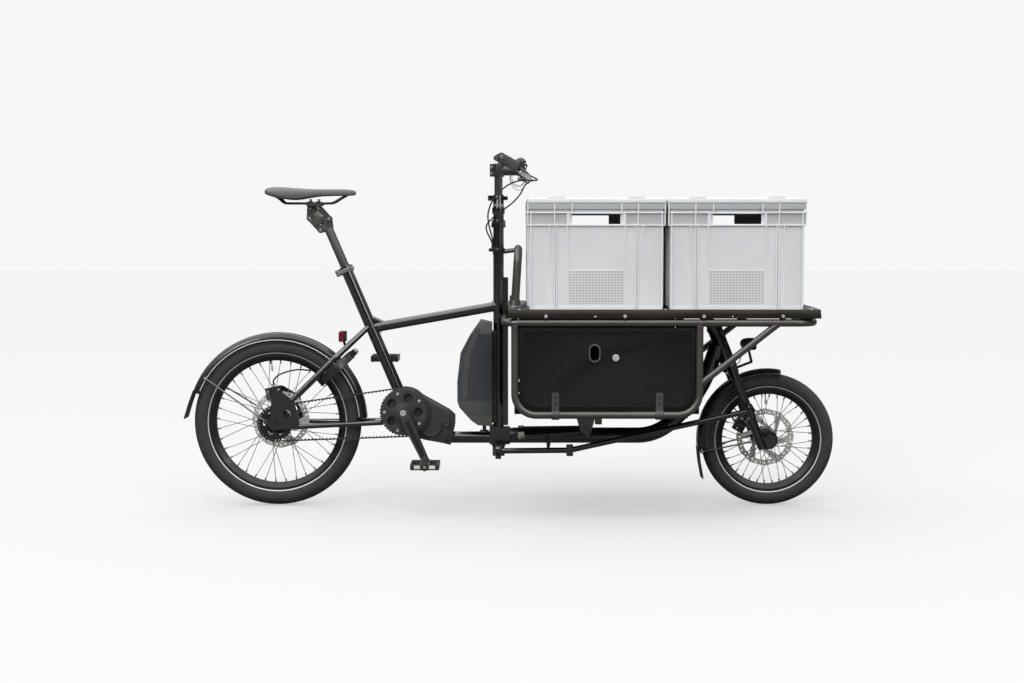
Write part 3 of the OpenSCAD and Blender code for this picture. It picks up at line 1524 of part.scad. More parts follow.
module saddle() {
  rear_x = saddle_x1 - saddle_l;
  c = link_a + link_l * link_dir;
  d = link_b + link_l * link_dir;
  rail_h_top = saddle_top - 50;
  color(satin) difference() {
    union() {
      slab_y(-head_half, head_half) {
        translate(c) circle(r = 8);
        translate(d) circle(r = 8);
        polygon([
          c + [-8, 0], [c[0] - 6, rail_h_top - 3], [d[0] + 12, rail_h_top - 3], d + [7, -3], d + [-2, -8],
          c + [4, -7]
        ]);
      }
      translate([c[0] - 8, -28, rail_h_top - 6]) cube([d[0] - c[0] + 22, 56, 11]);
    }
    disc_y(c, -30, 30, link_pin_r);
    disc_y(d, -30, 30, link_pin_r);
    both_sides() disc_y(d, head_half, head_half + link_t + gap, link_r + 4);
    both_sides() rod([rear_x, 22, rail_h_top], [saddle_x1, 22, rail_h_top], rail_r);
  }
  color(steel) {
    disc_y(c, -head_half - 3, head_half + 3, link_pin_r);
    disc_y(d, -head_half - link_t - 1, head_half + link_t + 1, link_pin_r);
    both_sides() difference() {
      rod_chain([
        [rear_x + 34, 30, saddle_top - 30], [rear_x + 60, 22, rail_h_top], [rear_x + 200, 22, rail_h_top],
        [saddle_x1 - 26, 8, saddle_top - 22]
      ], rail_r);
      saddle_pad();
    }
  }
  color(rubber) saddle_pad();
}

module saddle_pad() {
  rear_x = saddle_x1 - saddle_l;
  t = saddle_top;
  intersection() {
    translate([0, 0, t - 60]) linear_extrude(height = 70) saddle_plan();
    slab_y(-saddle_w, saddle_w) polygon([
      [rear_x, t - 22], [rear_x + 6, t - 6], [rear_x + 50, t], [rear_x + 140, t - 8], [rear_x + 235, t - 6],
      [saddle_x1 - 4, t - 11], [saddle_x1, t - 24], [saddle_x1 - 20, t - 30], [rear_x + 180, t - 34],
      [rear_x + 100, t - 40], [rear_x + 20, t - 40]
    ]);
  }
}

// ---- hatches ----
hatch_x0 = hoop_x0 + rack_r + 2;
hatch_x1 = hoop_x1 - rack_r - 2;
hatch_low = lower_rail_h + rack_r + 2;
hatch_top = rail_h - rack_r - 3;
hatch_in = rack_y - hatch_t / 2;
hatch_out = rack_y + hatch_t / 2;
hatch_corner = hoop_bend_r - rack_r - 2;
pull = [hoop_x0 + 232, lower_rail_h + 181];
lock_p = [hoop_x0 + 293, lower_rail_h + 168];
lock_r = 5;

module hatch_outline(inset) {
  r = hatch_corner - inset;
  for (x = [hatch_x0 + hatch_corner, hatch_x1 - hatch_corner]) translate([x, hatch_low + hatch_corner]) circle(r = r);
  translate([hatch_x0 + hatch_corner, hatch_low + inset])
    square([hatch_x1 - hatch_x0 - 2 * hatch_corner, hatch_corner]);
  translate([hatch_x0 + inset, hatch_low + hatch_corner])
    square([hatch_x1 - hatch_x0 - 2 * inset, hatch_top - hatch_low - hatch_corner - inset]);
}

module oval(p, w, h) {
  for (s = [-1, 1]) translate(p + [0, s * (h - w) / 2]) circle(r = w / 2);
  translate(p - [w / 2, (h - w) / 2]) square([w, h - w]);
}

// the left hatch; the right one is its mirror image
module hatch() {
  strap_w = 22;
  color(satin) difference() {
    union() {
      slab_y(hatch_in, hatch_out) hatch_outline(0);
      slab_y(hatch_out, hatch_out + 1.5) difference() {
        hatch_outline(9);
        hatch_outline(12);
      }
    }
    slab_y(hatch_in - 5, hatch_out + 5) oval(pull, 26, 44);
    disc_y(lock_p, 0, 2 * rack_y, lock_r + slip);
  }
  color(mid_grey) slab_y(hatch_out, hatch_out + 2) difference() {
    oval(pull, 34, 54);
    oval(pull, 26, 44);
  }
  // straps that turn round the lower rail
  color(dark_grey) for (x = [hoop_x0 + 107, hoop_x1 - 127]) difference() {
    union() {
      translate([x, rack_y, lower_rail_h]) rotate([0, 90, 0]) cylinder(h = strap_w, r = rack_r + 3);
      translate([x, hatch_out, lower_rail_h]) cube([strap_w, 3, 64]);
      translate([x, rack_y, lower_rail_h]) cube([strap_w, hatch_out - rack_y, hatch_low - lower_rail_h]);
    }
    translate([x - cut, rack_y, lower_rail_h]) rotate([0, 90, 0]) cylinder(h = strap_w + 2 * cut, r = rack_r + slip);
  }
}

module hatch_left() { hatch(); }
module hatch_right() { mirror([0, 1, 0]) hatch(); }

module lock() {
  color(silver) difference() {
    union() {
      disc_y(lock_p, hatch_in - 6, hatch_out + 6, lock_r);
      disc_y(lock_p, hatch_out + gap, hatch_out + 8, 10);
    }
    translate([lock_p[0] - 8, hatch_out + 6, lock_p[1] - 1]) cube([16, 10, 2]);
  }
  color(steel) slab_y(hatch_in - 4, hatch_in - gap) difference() {
    oval(lock_p + [0, 9], 16, 34);
    translate(lock_p) circle(r = lock_r);
  }
}

module lock_left() { lock(); }
module lock_right() { mirror([0, 1, 0]) lock(); }

// ---- stand ----
stand_l = 222;
module stand() {
  foot_y = 88;
  eye_y = 42;
  foot = at(stand_pivot + [16 - stand_l, -8], foot_y);
  hip = at(stand_pivot, eye_y);
  bow = stand_pivot + [-115, -48];
  color(gloss) difference() {
    union() {
      both_sides() {
        rod(at(stand_pivot, eye_y - 8), at(stand_pivot, eye_y + 8), 15);
        rod(hip, foot, 8);
        rod(hip + 0.52 * (foot - hip), at(bow, 42), 5);
        translate(at(bow, 42)) sphere(r = knee * 5);
      }
      rod(at(bow, -42), at(bow, 42), 5);
    }
    disc_y(stand_pivot, -100, 100, stand_tube_r + slip);
    both_sides() rod(foot - 16 * unit(foot - hip), foot + unit(foot - hip), 11);
  }
  color(rubber) both_sides() rod(foot - 16 * unit(foot - hip), foot, 11);
}

// ---- boxes with lids ----
box_x0 = deck_x0 + 56;
box_gap = 8;
box_low = deck_h + gap;
box_in = 6;

module box(x) {
  rim_h = 24;
  handle = [139, 30];
  handle_h = 247;
  y0 = -box_l / 2;
  color(box_grey) difference() {
    union() {
      translate([x + box_in, y0 + box_in, box_low]) cube([box_w - 2 * box_in, box_l - 2 * box_in, box_h]);
      translate([x, y0, box_low + box_h - rim_h]) cube([box_w, box_l, rim_h]);
      for (z = [handle_h - 5, handle_h + handle[1] + 1]) translate([x, y0, box_low + z]) cube([box_w, box_l, 4]);
      for (i = [0.16, 0.29, 0.71, 0.84]) {
        translate([x + i * box_w - 2, y0, box_low + 8]) cube([4, box_l, handle_h - 10]);
        translate([x, y0 + i * box_l - 2, box_low + 8]) cube([box_w, 4, handle_h - 10]);
      }
    }
    translate([x + box_in + box_wall, y0 + box_in + box_wall, box_low + box_wall])
      cube([box_w - 2 * (box_in + box_wall), box_l - 2 * (box_in + box_wall), box_h]);
    translate([x + (box_w - handle[0]) / 2, y0 - cut, box_low + handle_h]) cube([handle[0], box_l + 2 * cut, handle[1]]);
  }
}

module lid(x) {
  low = box_low + box_h + gap;
  inset = 13;
  y0 = -box_l / 2;
  tongue = box_in + box_wall + 1.5;
  color(box_grey) {
    translate([x, y0, low]) cube([box_w, box_l, lid_h - 3]);
    translate([x + inset, y0 + inset, low + lid_h - 3]) cube([box_w - 2 * inset, box_l - 2 * inset, 3]);
    difference() {
      translate([x + tongue, y0 + tongue, low - 8]) cube([box_w - 2 * tongue, box_l - 2 * tongue, 8]);
      translate([x + tongue + 3, y0 + tongue + 3, low - 9])
        cube([box_w - 2 * tongue - 6, box_l - 2 * tongue - 6, 9]);
    }
  }
}

module box_rear() { box(box_x0); }
module box_front() { box(box_x0 + box_w + box_gap); }
module lid_rear() { lid(box_x0); }
module lid_front() { lid(box_x0 + box_w + box_gap); }

seat_tube();
top_tube();
rear_triangle();
motor_unit();
boom();
head_tube();
mast();
battery();
belt();
rear_fender();
tail_lamp();
rear_caliper();
ring_lock();
deck_board();
deck_edging();
rack_frame();
side_hoops();
locker_shell();
guard_hoop();
steer_column();
mast_lever();
bar_post();
handlebar();
grips();
bar_controls();
brake_lever_right();
brake_lever_left();
control_cables();
tie_rod();
fork();
front_fender();
headlamp();
front_caliper();
front_tyre();
front_rim();
front_spokes();
front_hub();
rear_tyre();
rear_rim();
rear_spokes();
rear_hub();
rear_sprocket();
crankset();
pedal_right();
pedal_left();
seatpost();
seat_lever();
link_front();
link_rear();
saddle();
hatch_right();
hatch_left();
lock_right();
lock_left();
stand();
ring_bolt();
box_rear();
box_front();
lid_rear();
lid_front();
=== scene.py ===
"""Dresses the cargo bicycle's CAD frame. +X forward, +Y to the rider's left, +Z up, in metres."""

import math

import bmesh
import bpy
from mathutils import Matrix, Vector


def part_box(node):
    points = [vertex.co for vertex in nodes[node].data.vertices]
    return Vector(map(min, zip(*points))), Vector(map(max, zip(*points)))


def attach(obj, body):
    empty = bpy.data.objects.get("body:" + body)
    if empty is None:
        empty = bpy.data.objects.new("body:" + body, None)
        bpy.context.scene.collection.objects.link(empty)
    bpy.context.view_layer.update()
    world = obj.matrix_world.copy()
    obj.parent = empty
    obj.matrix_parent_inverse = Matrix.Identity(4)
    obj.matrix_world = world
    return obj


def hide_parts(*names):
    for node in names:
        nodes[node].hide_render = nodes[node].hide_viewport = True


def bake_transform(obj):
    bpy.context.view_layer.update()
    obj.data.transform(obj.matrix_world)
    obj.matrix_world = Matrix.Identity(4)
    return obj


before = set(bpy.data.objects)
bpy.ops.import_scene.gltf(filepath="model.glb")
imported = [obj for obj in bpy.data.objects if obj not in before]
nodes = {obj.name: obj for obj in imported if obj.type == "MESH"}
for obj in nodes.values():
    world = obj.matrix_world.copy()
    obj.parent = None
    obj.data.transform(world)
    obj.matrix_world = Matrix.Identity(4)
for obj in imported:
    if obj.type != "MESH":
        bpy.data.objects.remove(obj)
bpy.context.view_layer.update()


# ---------------------------------------------------------------- studio
# A pale seamless floor under a bright ceiling with dimmer walls, a soft box overhead and one on
# each side of the camera, which stands on the rider's right, a little above the saddle.
def add_node(tree, kind, **settings):
    """A node with settings on its inputs, each named as its input is, with _ for a space."""
    made = tree.nodes.new(kind)
    for label, value in settings.items():
        made.inputs[label.replace("_", " ")].default_value = value
    return made


def link_nodes(tree, *links):
    for start, output, end, socket in links:
        tree.links.new(start.outputs[output], end.inputs[socket])


bpy.context.scene.view_settings.view_transform = "Standard"
world = bpy.data.worlds.new("studio")
bpy.context.scene.world = world
world.use_nodes = True
air = world.node_tree
backdrop = air.nodes["Background"]
backdrop.inputs["Color"].default_value = (0.925, 0.925, 0.925, 1.0)
ceiling = add_node(air, "ShaderNodeBackground")
heading = add_node(air, "ShaderNodeTexCoord")
upward = add_node(air, "ShaderNodeSeparateXYZ")
fade = add_node(air, "ShaderNodeMapRange", From_Min=0.15, From_Max=0.8, To_Min=0.03, To_Max=2.5)
fade.interpolation_type = "SMOOTHSTEP"
seen = add_node(air, "ShaderNodeLightPath")
either = add_node(air, "ShaderNodeMixShader")
link_nodes(air, (heading, "Generated", upward, "Vector"), (upward, "Z", fade, "Value"),
           (fade, "Result", ceiling, "Strength"), (seen, "Is Camera Ray", either, "Fac"),
           (ceiling, "Background", either, 1), (backdrop, "Background", either, 2),
           (either, "Shader", air.nodes["World Output"], "Surface"))

bpy.ops.mesh.primitive_plane_add(size=60.0, location=(0.0, 0.0, -0.001))
floor = bpy.context.object
floor.name = "studio_floor"
floor_paint = bpy.data.materials.new("floor_paint")
floor_paint.use_nodes = True
paint = floor_paint.node_tree
floor_shader = paint.nodes["Principled BSDF"]
for label, value in (("Emission Color", (1.0, 1.0, 1.0, 1.0)), ("Roughness", 0.9),
                     ("Specular IOR Level", 0.1)):
    floor_shader.inputs[label].default_value = value
floor_seen = add_node(paint, "ShaderNodeLightPath")
floor_glow = add_node(paint, "ShaderNodeMath")
floor_glow.operation = "MULTIPLY"
floor_glow.inputs[1].default_value = 0.43
floor_tone = add_node(paint, "ShaderNodeMapRange", To_Min=0.13, To_Max=0.3)
link_nodes(paint, (floor_seen, "Is Camera Ray", floor_glow, 0),
           (floor_glow, "Value", floor_shader, "Emission Strength"),
           (floor_seen, "Is Camera Ray", floor_tone, "Value"),
           (floor_tone, "Result", floor_shader, "Base Color"))
floor.data.materials.append(floor_paint)


def stand_up(name, data, place):
    holder = bpy.data.objects.new(name, data)
    bpy.context.collection.objects.link(holder)
    holder.location = place
    return holder


def soft_light(name, place, size, power):
    """A soft box that faces the middle of the bicycle."""
    lamp = bpy.data.lights.new(name, "AREA")
    lamp.shape = "RECTANGLE"
    lamp.size, lamp.size_y = size
    lamp.energy = power
    way = Vector((0.0, 0.0, 0.5)) - Vector(place)
    stand_up(name, lamp, place).rotation_euler = way.to_track_quat("-Z", "Y").to_euler()


soft_light("overhead", (0.0, -1.0, 3.6), (5.0, 0.5), 14.0)
soft_light("near_left", (-8.0, -14.0, 8.0), (4.0, 5.5), 780.0)
soft_light("near_right", (9.5, -12.5, 7.0), (4.0, 5.5), 380.0)

eye = bpy.data.cameras.new("eye")
eye.lens = 58.2
eye.sensor_width = 36.0
eye_stand = stand_up("eye", eye, (0.0085, -5.1, 0.849))
eye_stand.rotation_euler = (math.radians(90.0 - 3.85), 0.0, 0.0)
bpy.context.scene.camera = eye_stand


# ---------------------------------------------------------------- frame tubes
# Brazed steel tubes with a glossy black powder coat: a faint orange-peel skin, slow changes
# of gloss, and fine scuffs that stay shallow.
def coat(name, tone, rough, metal=0.0, peel=0.1, grain=900.0, cloud=0.08, clear=0.0, scuffs=0.08,
         stretch=(1.0, 1.0, 1.0), specular=0.5):
    """A finish: slow tone and gloss changes, faint scuffs, and a fine skin in the bump."""
    made = bpy.data.materials.new(name)
    made.use_nodes = True
    tree = made.node_tree
    shader = tree.nodes["Principled BSDF"]
    for label, value in (("Metallic", metal), ("Coat Weight", clear), ("Coat Roughness", 0.08),
                         ("Specular IOR Level", specular)):
        shader.inputs[label].default_value = value
    place = add_node(tree, "ShaderNodeTexCoord")
    slow = add_node(tree, "ShaderNodeTexNoise", Scale=9.0, Detail=6.0)
    ramp = add_node(tree, "ShaderNodeValToRGB")
    for stop, at, share in zip(ramp.color_ramp.elements, (0.32, 0.68), (1.0 - cloud, 1.0 + cloud)):
        stop.position = at
        stop.color = (*[min(1.0, c * share) for c in tone], 1.0)
    pull = add_node(tree, "ShaderNodeMapping", Scale=(60.0, 60.0, 900.0), Rotation=(0.3, 0.5, 0.2))
    lines = add_node(tree, "ShaderNodeTexNoise", Scale=1.0, Detail=2.0)
    worn = add_node(tree, "ShaderNodeMapRange", From_Min=0.62, From_Max=0.75, To_Max=scuffs)
    gloss = add_node(tree, "ShaderNodeMapRange", From_Min=0.3, From_Max=0.7, To_Min=rough * 0.8,
                     To_Max=min(1.0, rough * 1.2))
    both = add_node(tree, "ShaderNodeMath")
    both.use_clamp = True
    across = add_node(tree, "ShaderNodeMapping", Scale=stretch)
    skin = add_node(tree, "ShaderNodeTexNoise", Scale=grain, Detail=3.0)
    bump = add_node(tree, "ShaderNodeBump", Strength=peel, Distance=0.0006)
    link_nodes(tree, (place, "Object", slow, "Vector"), (slow, "Fac", ramp, "Fac"),
               (ramp, "Color", shader, "Base Color"), (place, "Object", pull, "Vector"),
               (pull, "Vector", lines, "Vector"), (lines, "Fac", worn, "Value"),
               (slow, "Fac", gloss, "Value"), (gloss, "Result", both, 0), (worn, "Result", both, 1),
               (both, "Value", shader, "Roughness"), (place, "Object", across, "Vector"),
               (across, "Vector", skin, "Vector"), (skin, "Fac", bump, "Height"),
               (bump, "Normal", shader, "Normal"))
    return made


def finish_nodes(finish, *names):
    """The CAD pieces keep their shape and get this finish."""
    for name in names:
        nodes[name].data.materials.clear()
        nodes[name].data.materials.append(finish)


gloss_black = coat("gloss_black_coat", (0.003, 0.003, 0.0034), 0.17, peel=0.2, clear=0.9, specular=1.0)
finish_nodes(gloss_black, "seat_tube", "top_tube", "rear_triangle", "boom", "head_tube", "mast",
             "fork", "tie_rod")


# ---------------------------------------------------------------- motor and battery
# The motor is a cast aluminium case bolted into the frame, and the battery a moulded pack
# that stands behind the mast in a dock, with a textured cap above and a base below.
def settle(name, mesh, body, sharp=32.0, bevel=0.0, replaces=(), weld=False):
    """Closes a mesh off as a piece: faces outward, edges rounded, riding on its body, if any."""
    shell = bmesh.new()
    shell.from_mesh(mesh)
    if weld:
        bmesh.ops.remove_doubles(shell, verts=shell.verts, dist=0.00002)
        bmesh.ops.dissolve_limit(shell, angle_limit=math.radians(0.6), verts=shell.verts, edges=shell.edges)
    if bevel:
        edges = [e for e in shell.edges if e.is_manifold and e.calc_face_angle() > math.radians(sharp)]
        bmesh.ops.bevel(shell, geom=edges, offset=bevel, segments=2, profile=0.6, affect="EDGES",
                        clamp_overlap=True)
    bmesh.ops.recalc_face_normals(shell, faces=shell.faces)
    shell.to_mesh(mesh)
    shell.free()
    if "custom_normal" in mesh.attributes:
        mesh.attributes.remove(mesh.attributes["custom_normal"])
    mesh.shade_smooth()
    mesh.set_sharp_from_angle(angle=math.radians(sharp))
    made = bpy.data.objects.new(name, mesh)
    bpy.context.collection.objects.link(made)
    if replaces:
        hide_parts(*replaces)
    if body:
        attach(made, body)
    return made


def piece(name, shapes, body, sharp=32.0, bevel=0.0, replaces=()):
    """One object from (points, faces, finish) shapes; a list gives each face its own finish."""
    mesh = bpy.data.meshes.new(name)
    points, rings, slots, finishes = [], [], [], []
    for some, faces, finish in shapes:
        for each in finish if isinstance(finish, list) else [finish] * len(faces):
            if each not in finishes:
                finishes.append(each)
                mesh.materials.append(each)
            slots.append(finishes.index(each))
        rings += [[len(points) + i for i in ring] for ring in faces]
        points += [tuple(p) for p in some]
    mesh.from_pydata(points, [], rings)
    mesh.polygons.foreach_set("material_index", slots)
    return settle(name, mesh, body, sharp, bevel, replaces)


def worked(node, body, finishes, bevel, pick=None):
    """A merged copy of a CAD piece with rounded edges, and a finish picked for each face."""
    mesh = nodes[node].data.copy()
    mesh.materials.clear()
    for finish in finishes:
        mesh.materials.append(finish)
    for face in mesh.polygons:
        face.material_index = pick(face.center, face.normal) if pick else 0
    return settle(node + "_finished", mesh, body, 38.0, bevel, (node,), True)


def slab(outline, low, high, finish, place=None):
    """An outline in the XZ plane, pulled along Y from low to high."""
    ends = [Vector((x, y, z)) for y in (low, high) for x, z in outline]
    if place:
        ends = [place @ p for p in ends]
    n = len(outline)
    sides = [[i, (i + 1) % n, n + (i + 1) % n, n + i] for i in range(n)]
    return ends, sides + [list(range(n)), list(range(2 * n - 1, n - 1, -1))], finish


def brick(corner, opposite, finish, place=None):
    """A block between two opposite corners, given in any order."""
    (a, d), (b, e), (c, f) = [sorted(pair) for pair in zip(corner, opposite)]
    return slab([(a, c), (d, c), (d, f), (a, f)], b, e, finish, place)


def wrap(rows, count, closed=False):
    """Faces round rows of points, capped at both ends unless the last row meets the first."""
    quads = [[i * count + k, i * count + (k + 1) % count,
              (i + 1) % rows * count + (k + 1) % count, (i + 1) % rows * count + k]
             for i in range(rows if closed else rows - 1) for k in range(count)]
    return quads if closed else quads + [list(range(count)), [(rows - 1) * count + k for k in range(count)]]


def circle(count):
    """The cosine and sine of evenly spaced turns."""
    return [(math.cos(2.0 * math.pi * k / count), math.sin(2.0 * math.pi * k / count)) for k in range(count)]


def turned(start, axis, profile, finish, steps=40, ring=False):
    """A (along, radius) profile turned round an axis; open ends are capped unless it is a ring."""
    aim = Vector(axis).normalized()
    side = aim.orthogonal().normalized()
    other = aim.cross(side)
    points = [Vector(start) + along * aim + radius * (u * side + v * other)
              for along, radius in profile for u, v in circle(steps)]
    return points, wrap(len(profile), steps, ring), finish


def smooth_path(points, count=6):
    """Points on a smooth curve that runs through the given ones."""
    p = [Vector(q) for q in points]
    p = [2 * p[0] - p[1]] + p + [2 * p[-1] - p[-2]]
    path = []
    for i in range(1, len(p) - 2):
        for k in range(count):
            t = k / count
            path.append(0.5 * (2 * p[i] + (p[i + 1] - p[i - 1]) * t
                               + (2 * p[i - 1] - 5 * p[i] + 4 * p[i + 1] - p[i + 2]) * t * t
                               + (3 * p[i] - p[i - 1] - 3 * p[i + 1] + p[i + 2]) * t * t * t))
    return path + [p[-2]]


def run(path, radius, finish, sides=10):
    """A round tube along a path; the radius may be a list, one for each point."""
    radii = radius if isinstance(radius, list) else [radius] * len(path)
    side = (path[1] - path[0]).normalized().orthogonal().normalized()
    points = []
    for i, p in enumerate(path):
        heading = (path[min(i + 1, len(path) - 1)] - path[max(i - 1, 0)]).normalized()
        side = (side - side.dot(heading) * heading).normalized()
        points += [p + radii[i] * (u * side + v * heading.cross(side)) for u, v in circle(sides)]
    return points, wrap(len(path), sides), finish


cast_dark = coat("cast_dark_metal", (0.042, 0.042, 0.044), 0.4, metal=0.2, peel=0.5, grain=1500.0)
worked("motor_unit", "frame", [cast_dark], 0.003)
motor_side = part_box("motor_unit")[0].y
piece("motor_cover", [turned((x, motor_side + 0.001, z), (0, -1, 0), [
    (0.0, r), (0.002, r), (0.0028, r - 0.0012), (0.0028, r - 0.006), (0.0016, r - 0.0075), (0.0016, 0.0)],
    cast_dark, 48) for x, z, r in ((-0.2405, 0.2495, 0.034), (-0.1925, 0.2585, 0.0125))], "frame", 24.0)
pack_case = coat("battery_case", (0.05, 0.052, 0.06), 0.33, peel=0.2, grain=1800.0, clear=0.15)
pack_base = coat("battery_base", (0.075, 0.077, 0.082), 0.5, peel=0.6, grain=1400.0)
pack_cap = coat("battery_cap", (0.11, 0.108, 0.104), 0.6, peel=0.9, grain=1100.0)
battery = worked("battery", "frame", [pack_case, pack_base, pack_cap], 0.004)
cap_low, base_high, base_low = 0.533, 0.326, 0.279
shell = bmesh.new()
shell.from_mesh(battery.data)
for height in (cap_low, base_high, base_low):
    bmesh.ops.bisect_plane(shell, geom=shell.verts[:] + shell.edges[:] + shell.faces[:],
                           plane_co=(0.0, 0.0, height), plane_no=(0.0, 0.0, 1.0))
for face in shell.faces:
    z = face.calc_center_median().z
    face.material_index = 2 if z > cap_low or z < base_low else 1 if z < base_high else 0
shell.to_mesh(battery.data)
shell.free()
panel = [(-0.100, 0.555), (-0.134, 0.471), (-0.1435, 0.387), (-0.1435, 0.335), (-0.128, 0.335),
         (-0.128, 0.385), (-0.119, 0.466), (-0.088, 0.545)]
piece("battery_side_panels", [slab(panel, s * 0.0545, s * 0.0562, pack_base) for s in (-1, 1)],
      "frame", bevel=0.0007)
dark_bolt = coat("blackened_bolt", (0.05, 0.05, 0.052), 0.35, metal=0.9, peel=0.1)
silver_bolt = coat("bright_bolt", (0.6, 0.6, 0.61), 0.25, metal=0.35, peel=0.05)


# Button-head screws with a socket are pressed on wherever a cover is held.
def repeater(name, sizes, shape):
    """A tree that sets one shape on every point, along the point's own direction."""
    tree = bpy.data.node_groups.new(name, "GeometryNodeTree")
    for label, kind in [("Places", "Geometry")] + [(size, "Float") for size in sizes] + [("Finish", "Material")]:
        tree.interface.new_socket(label, in_out="INPUT", socket_type="NodeSocket" + kind)
    tree.interface.new_socket("Result", in_out="OUTPUT", socket_type="NodeSocketGeometry")
    given, result = add_node(tree, "NodeGroupInput"), add_node(tree, "NodeGroupOutput")
    facing = add_node(tree, "GeometryNodeInputNamedAttribute", Name="facing")
    facing.data_type = "FLOAT_VECTOR"
    turn = add_node(tree, "FunctionNodeAlignRotationToVector")
    lay = add_node(tree, "GeometryNodeInstanceOnPoints")
    real = add_node(tree, "GeometryNodeRealizeInstances")
    dress = add_node(tree, "GeometryNodeSetMaterial")
    link_nodes(tree, (shape(tree, given), "Mesh", lay, "Instance"), (facing, "Attribute", turn, "Vector"),
               (turn, "Rotation", lay, "Rotation"), (given, "Places", lay, "Points"),
               (lay, "Instances", real, "Geometry"), (real, "Geometry", dress, "Geometry"),
               (given, "Finish", dress, "Material"), (dress, "Geometry", result, "Result"))
    return tree


def screw_head(tree, given):
    """A tapered head with a socket sunk into its top."""
    head = add_node(tree, "GeometryNodeMeshCone", Vertices=18)
    narrow, deep = add_node(tree, "ShaderNodeMath"), add_node(tree, "ShaderNodeMath")
    for product, share in ((narrow, 0.78), (deep, -0.7)):
        product.operation = "MULTIPLY"
        product.inputs[1].default_value = share
    step = add_node(tree, "GeometryNodeExtrudeMesh", Offset_Scale=0.0)
    hole = add_node(tree, "GeometryNodeScaleElements")
    sink = add_node(tree, "GeometryNodeExtrudeMesh")
    link_nodes(tree, (given, "Head radius", narrow, 0), (narrow, "Value", head, "Radius Top"),
               (given, "Head radius", head, "Radius Bottom"), (given, "Head height", head, "Depth"),
               (head, "Mesh", step, "Mesh"), (head, "Top", step, "Selection"),
               (step, "Mesh", hole, "Geometry"), (step, "Top", hole, "Selection"),
               (given, "Socket share", hole, "Scale"), (given, "Head height", deep, 0),
               (hole, "Geometry", sink, "Mesh"), (step, "Top", sink, "Selection"),
               (deep, "Value", sink, "Offset Scale"))
    return sink


def kept_mesh(holder):
    """The mesh that an object comes to with its modifiers; the object goes."""
    graph = bpy.context.evaluated_depsgraph_get()
    mesh = bpy.data.meshes.new_from_object(holder.evaluated_get(graph))
    bpy.data.objects.remove(holder)
    return mesh


def repeat(name, tree, places, facings, values, finish, body):
    """Runs a tree on points that each carry a direction, and keeps the result as a plain piece."""
    seeds = bpy.data.meshes.new(name + "_places")
    seeds.from_pydata([tuple(p) for p in places], [], [])
    ways = seeds.attributes.new("facing", "FLOAT_VECTOR", "POINT")
    facings = [facings] * len(places) if isinstance(facings, tuple) else facings
    ways.data.foreach_set("vector", [c for way in facings for c in way])
    holder = bpy.data.objects.new(name + "_places", seeds)
    bpy.context.collection.objects.link(holder)
    modifier = holder.modifiers.new("repeat", "NODES")
    modifier.node_group = tree
    wanted = dict(values, Finish=finish)
    for socket in tree.interface.items_tree:
        if socket.in_out == "INPUT" and socket.name in wanted:
            modifier[socket.identifier] = wanted[socket.name]
    return settle(name, kept_mesh(holder), body, 35.0)


button_screws = repeater("button_screws", ("Head radius", "Head height", "Socket share"), screw_head)


def screws(name, places, facings, radius, height, finish, body, socket=0.5):
    """Screw heads; the facings are a list, or one direction for all."""
    return repeat(name, button_screws, places, facings,
                  {"Head radius": radius, "Head height": height, "Socket share": socket}, finish, body)


def side_screws(name, spots, radius, height, finish, body, socket=0.5):
    """Screw heads at (x, y, z) spots on both sides of the bicycle, facing away from its middle."""
    screws(name, [(x, s * y, z) for x, y, z in spots for s in (-1, 1)],
           [(0, s, 0) for _ in spots for s in (-1, 1)], radius, height, finish, body, socket)


side_screws("motor_bolts", [(-0.186, 0.046, 0.268), (-0.193, 0.046, 0.205), (-0.262, 0.046, 0.322),
                            (-0.248, 0.046, 0.216)], 0.0045, 0.003, dark_bolt, "frame")

# ---------------------------------------------------------------- tyres
# Wide road tyres with a grooved tread, ribbed sidewalls and a moulded-in reflecting ring on
# each side. The rubber is a little dusty at the tread.
rear_hub, front_hub = Vector((-0.7155, 0.0, 0.258)), Vector((0.7985, 0.0, 0.204))
tread_rubber = coat("tread_rubber", (0.034, 0.034, 0.034), 0.72, peel=0.5, grain=2200.0, cloud=0.2, scuffs=0.1)
reflecting_ring = coat("reflecting_ring", (0.82, 0.82, 0.8), 0.4, peel=0.1, grain=3000.0, cloud=0.02)


def tyre(name, body, node, hub, outer, width, seat, band):
    """A tyre carcass turned round the axle, with grooves and sipes pressed into the tread."""
    core, fat, spins = outer - width / 2.0, width / 2.0, 288
    limit = math.degrees(math.acos((seat - core) / fat))
    half = [0.0, 2.5, 5.0] + [8.0 + 1.6 * i for i in range(4)] + [17.0, 22.0, 25.0, 26.6, 28.2, 29.8, 33.0]
    half += [38.0 + 5.0 * i for i in range(6)] + [66.0, 69.0, 74.0, 80.0, 86.0, 90.0, 94.0, 98.0, 102.0, 110.0]
    half += [118.0, band[0] - 0.8, band[0], band[1], band[1] + 0.8, limit]
    angles = [-a for a in reversed(half[1:])] + half
    points = []
    for k, (u, v) in enumerate(circle(spins)):
        for a in angles:
            size, mark = fat, abs(a)
            if mark in (9.6, 11.2, 26.6, 28.2):
                size -= 0.0018
            if 33.0 <= mark <= 63.0 and (k + int(mark / 9.0)) % 6 < 2:
                size -= 0.0016
            if mark in (69.0, 90.0, 98.0):
                size -= 0.0005
            r = core + size * math.cos(math.radians(a))
            points.append(hub + Vector((r * u, size * math.sin(math.radians(a)), r * v)))
    lit = [all(band[0] <= abs(a) <= band[1] for a in pair) for pair in zip(angles, angles[1:])] + [False]
    finishes = [reflecting_ring if on else tread_rubber for on in lit] * spins
    piece(name, [(points, wrap(spins, len(angles), True), finishes)], body, 30.0, replaces=(node,))


tyre("rear_tyre_tread", "rear_wheel", "rear_tyre", rear_hub, 0.258, 0.054, 0.210, (127.5, 134.5))
tyre("front_tyre_tread", "front_wheel", "front_tyre", front_hub, 0.204, 0.050, 0.160, (125.5, 133.0))

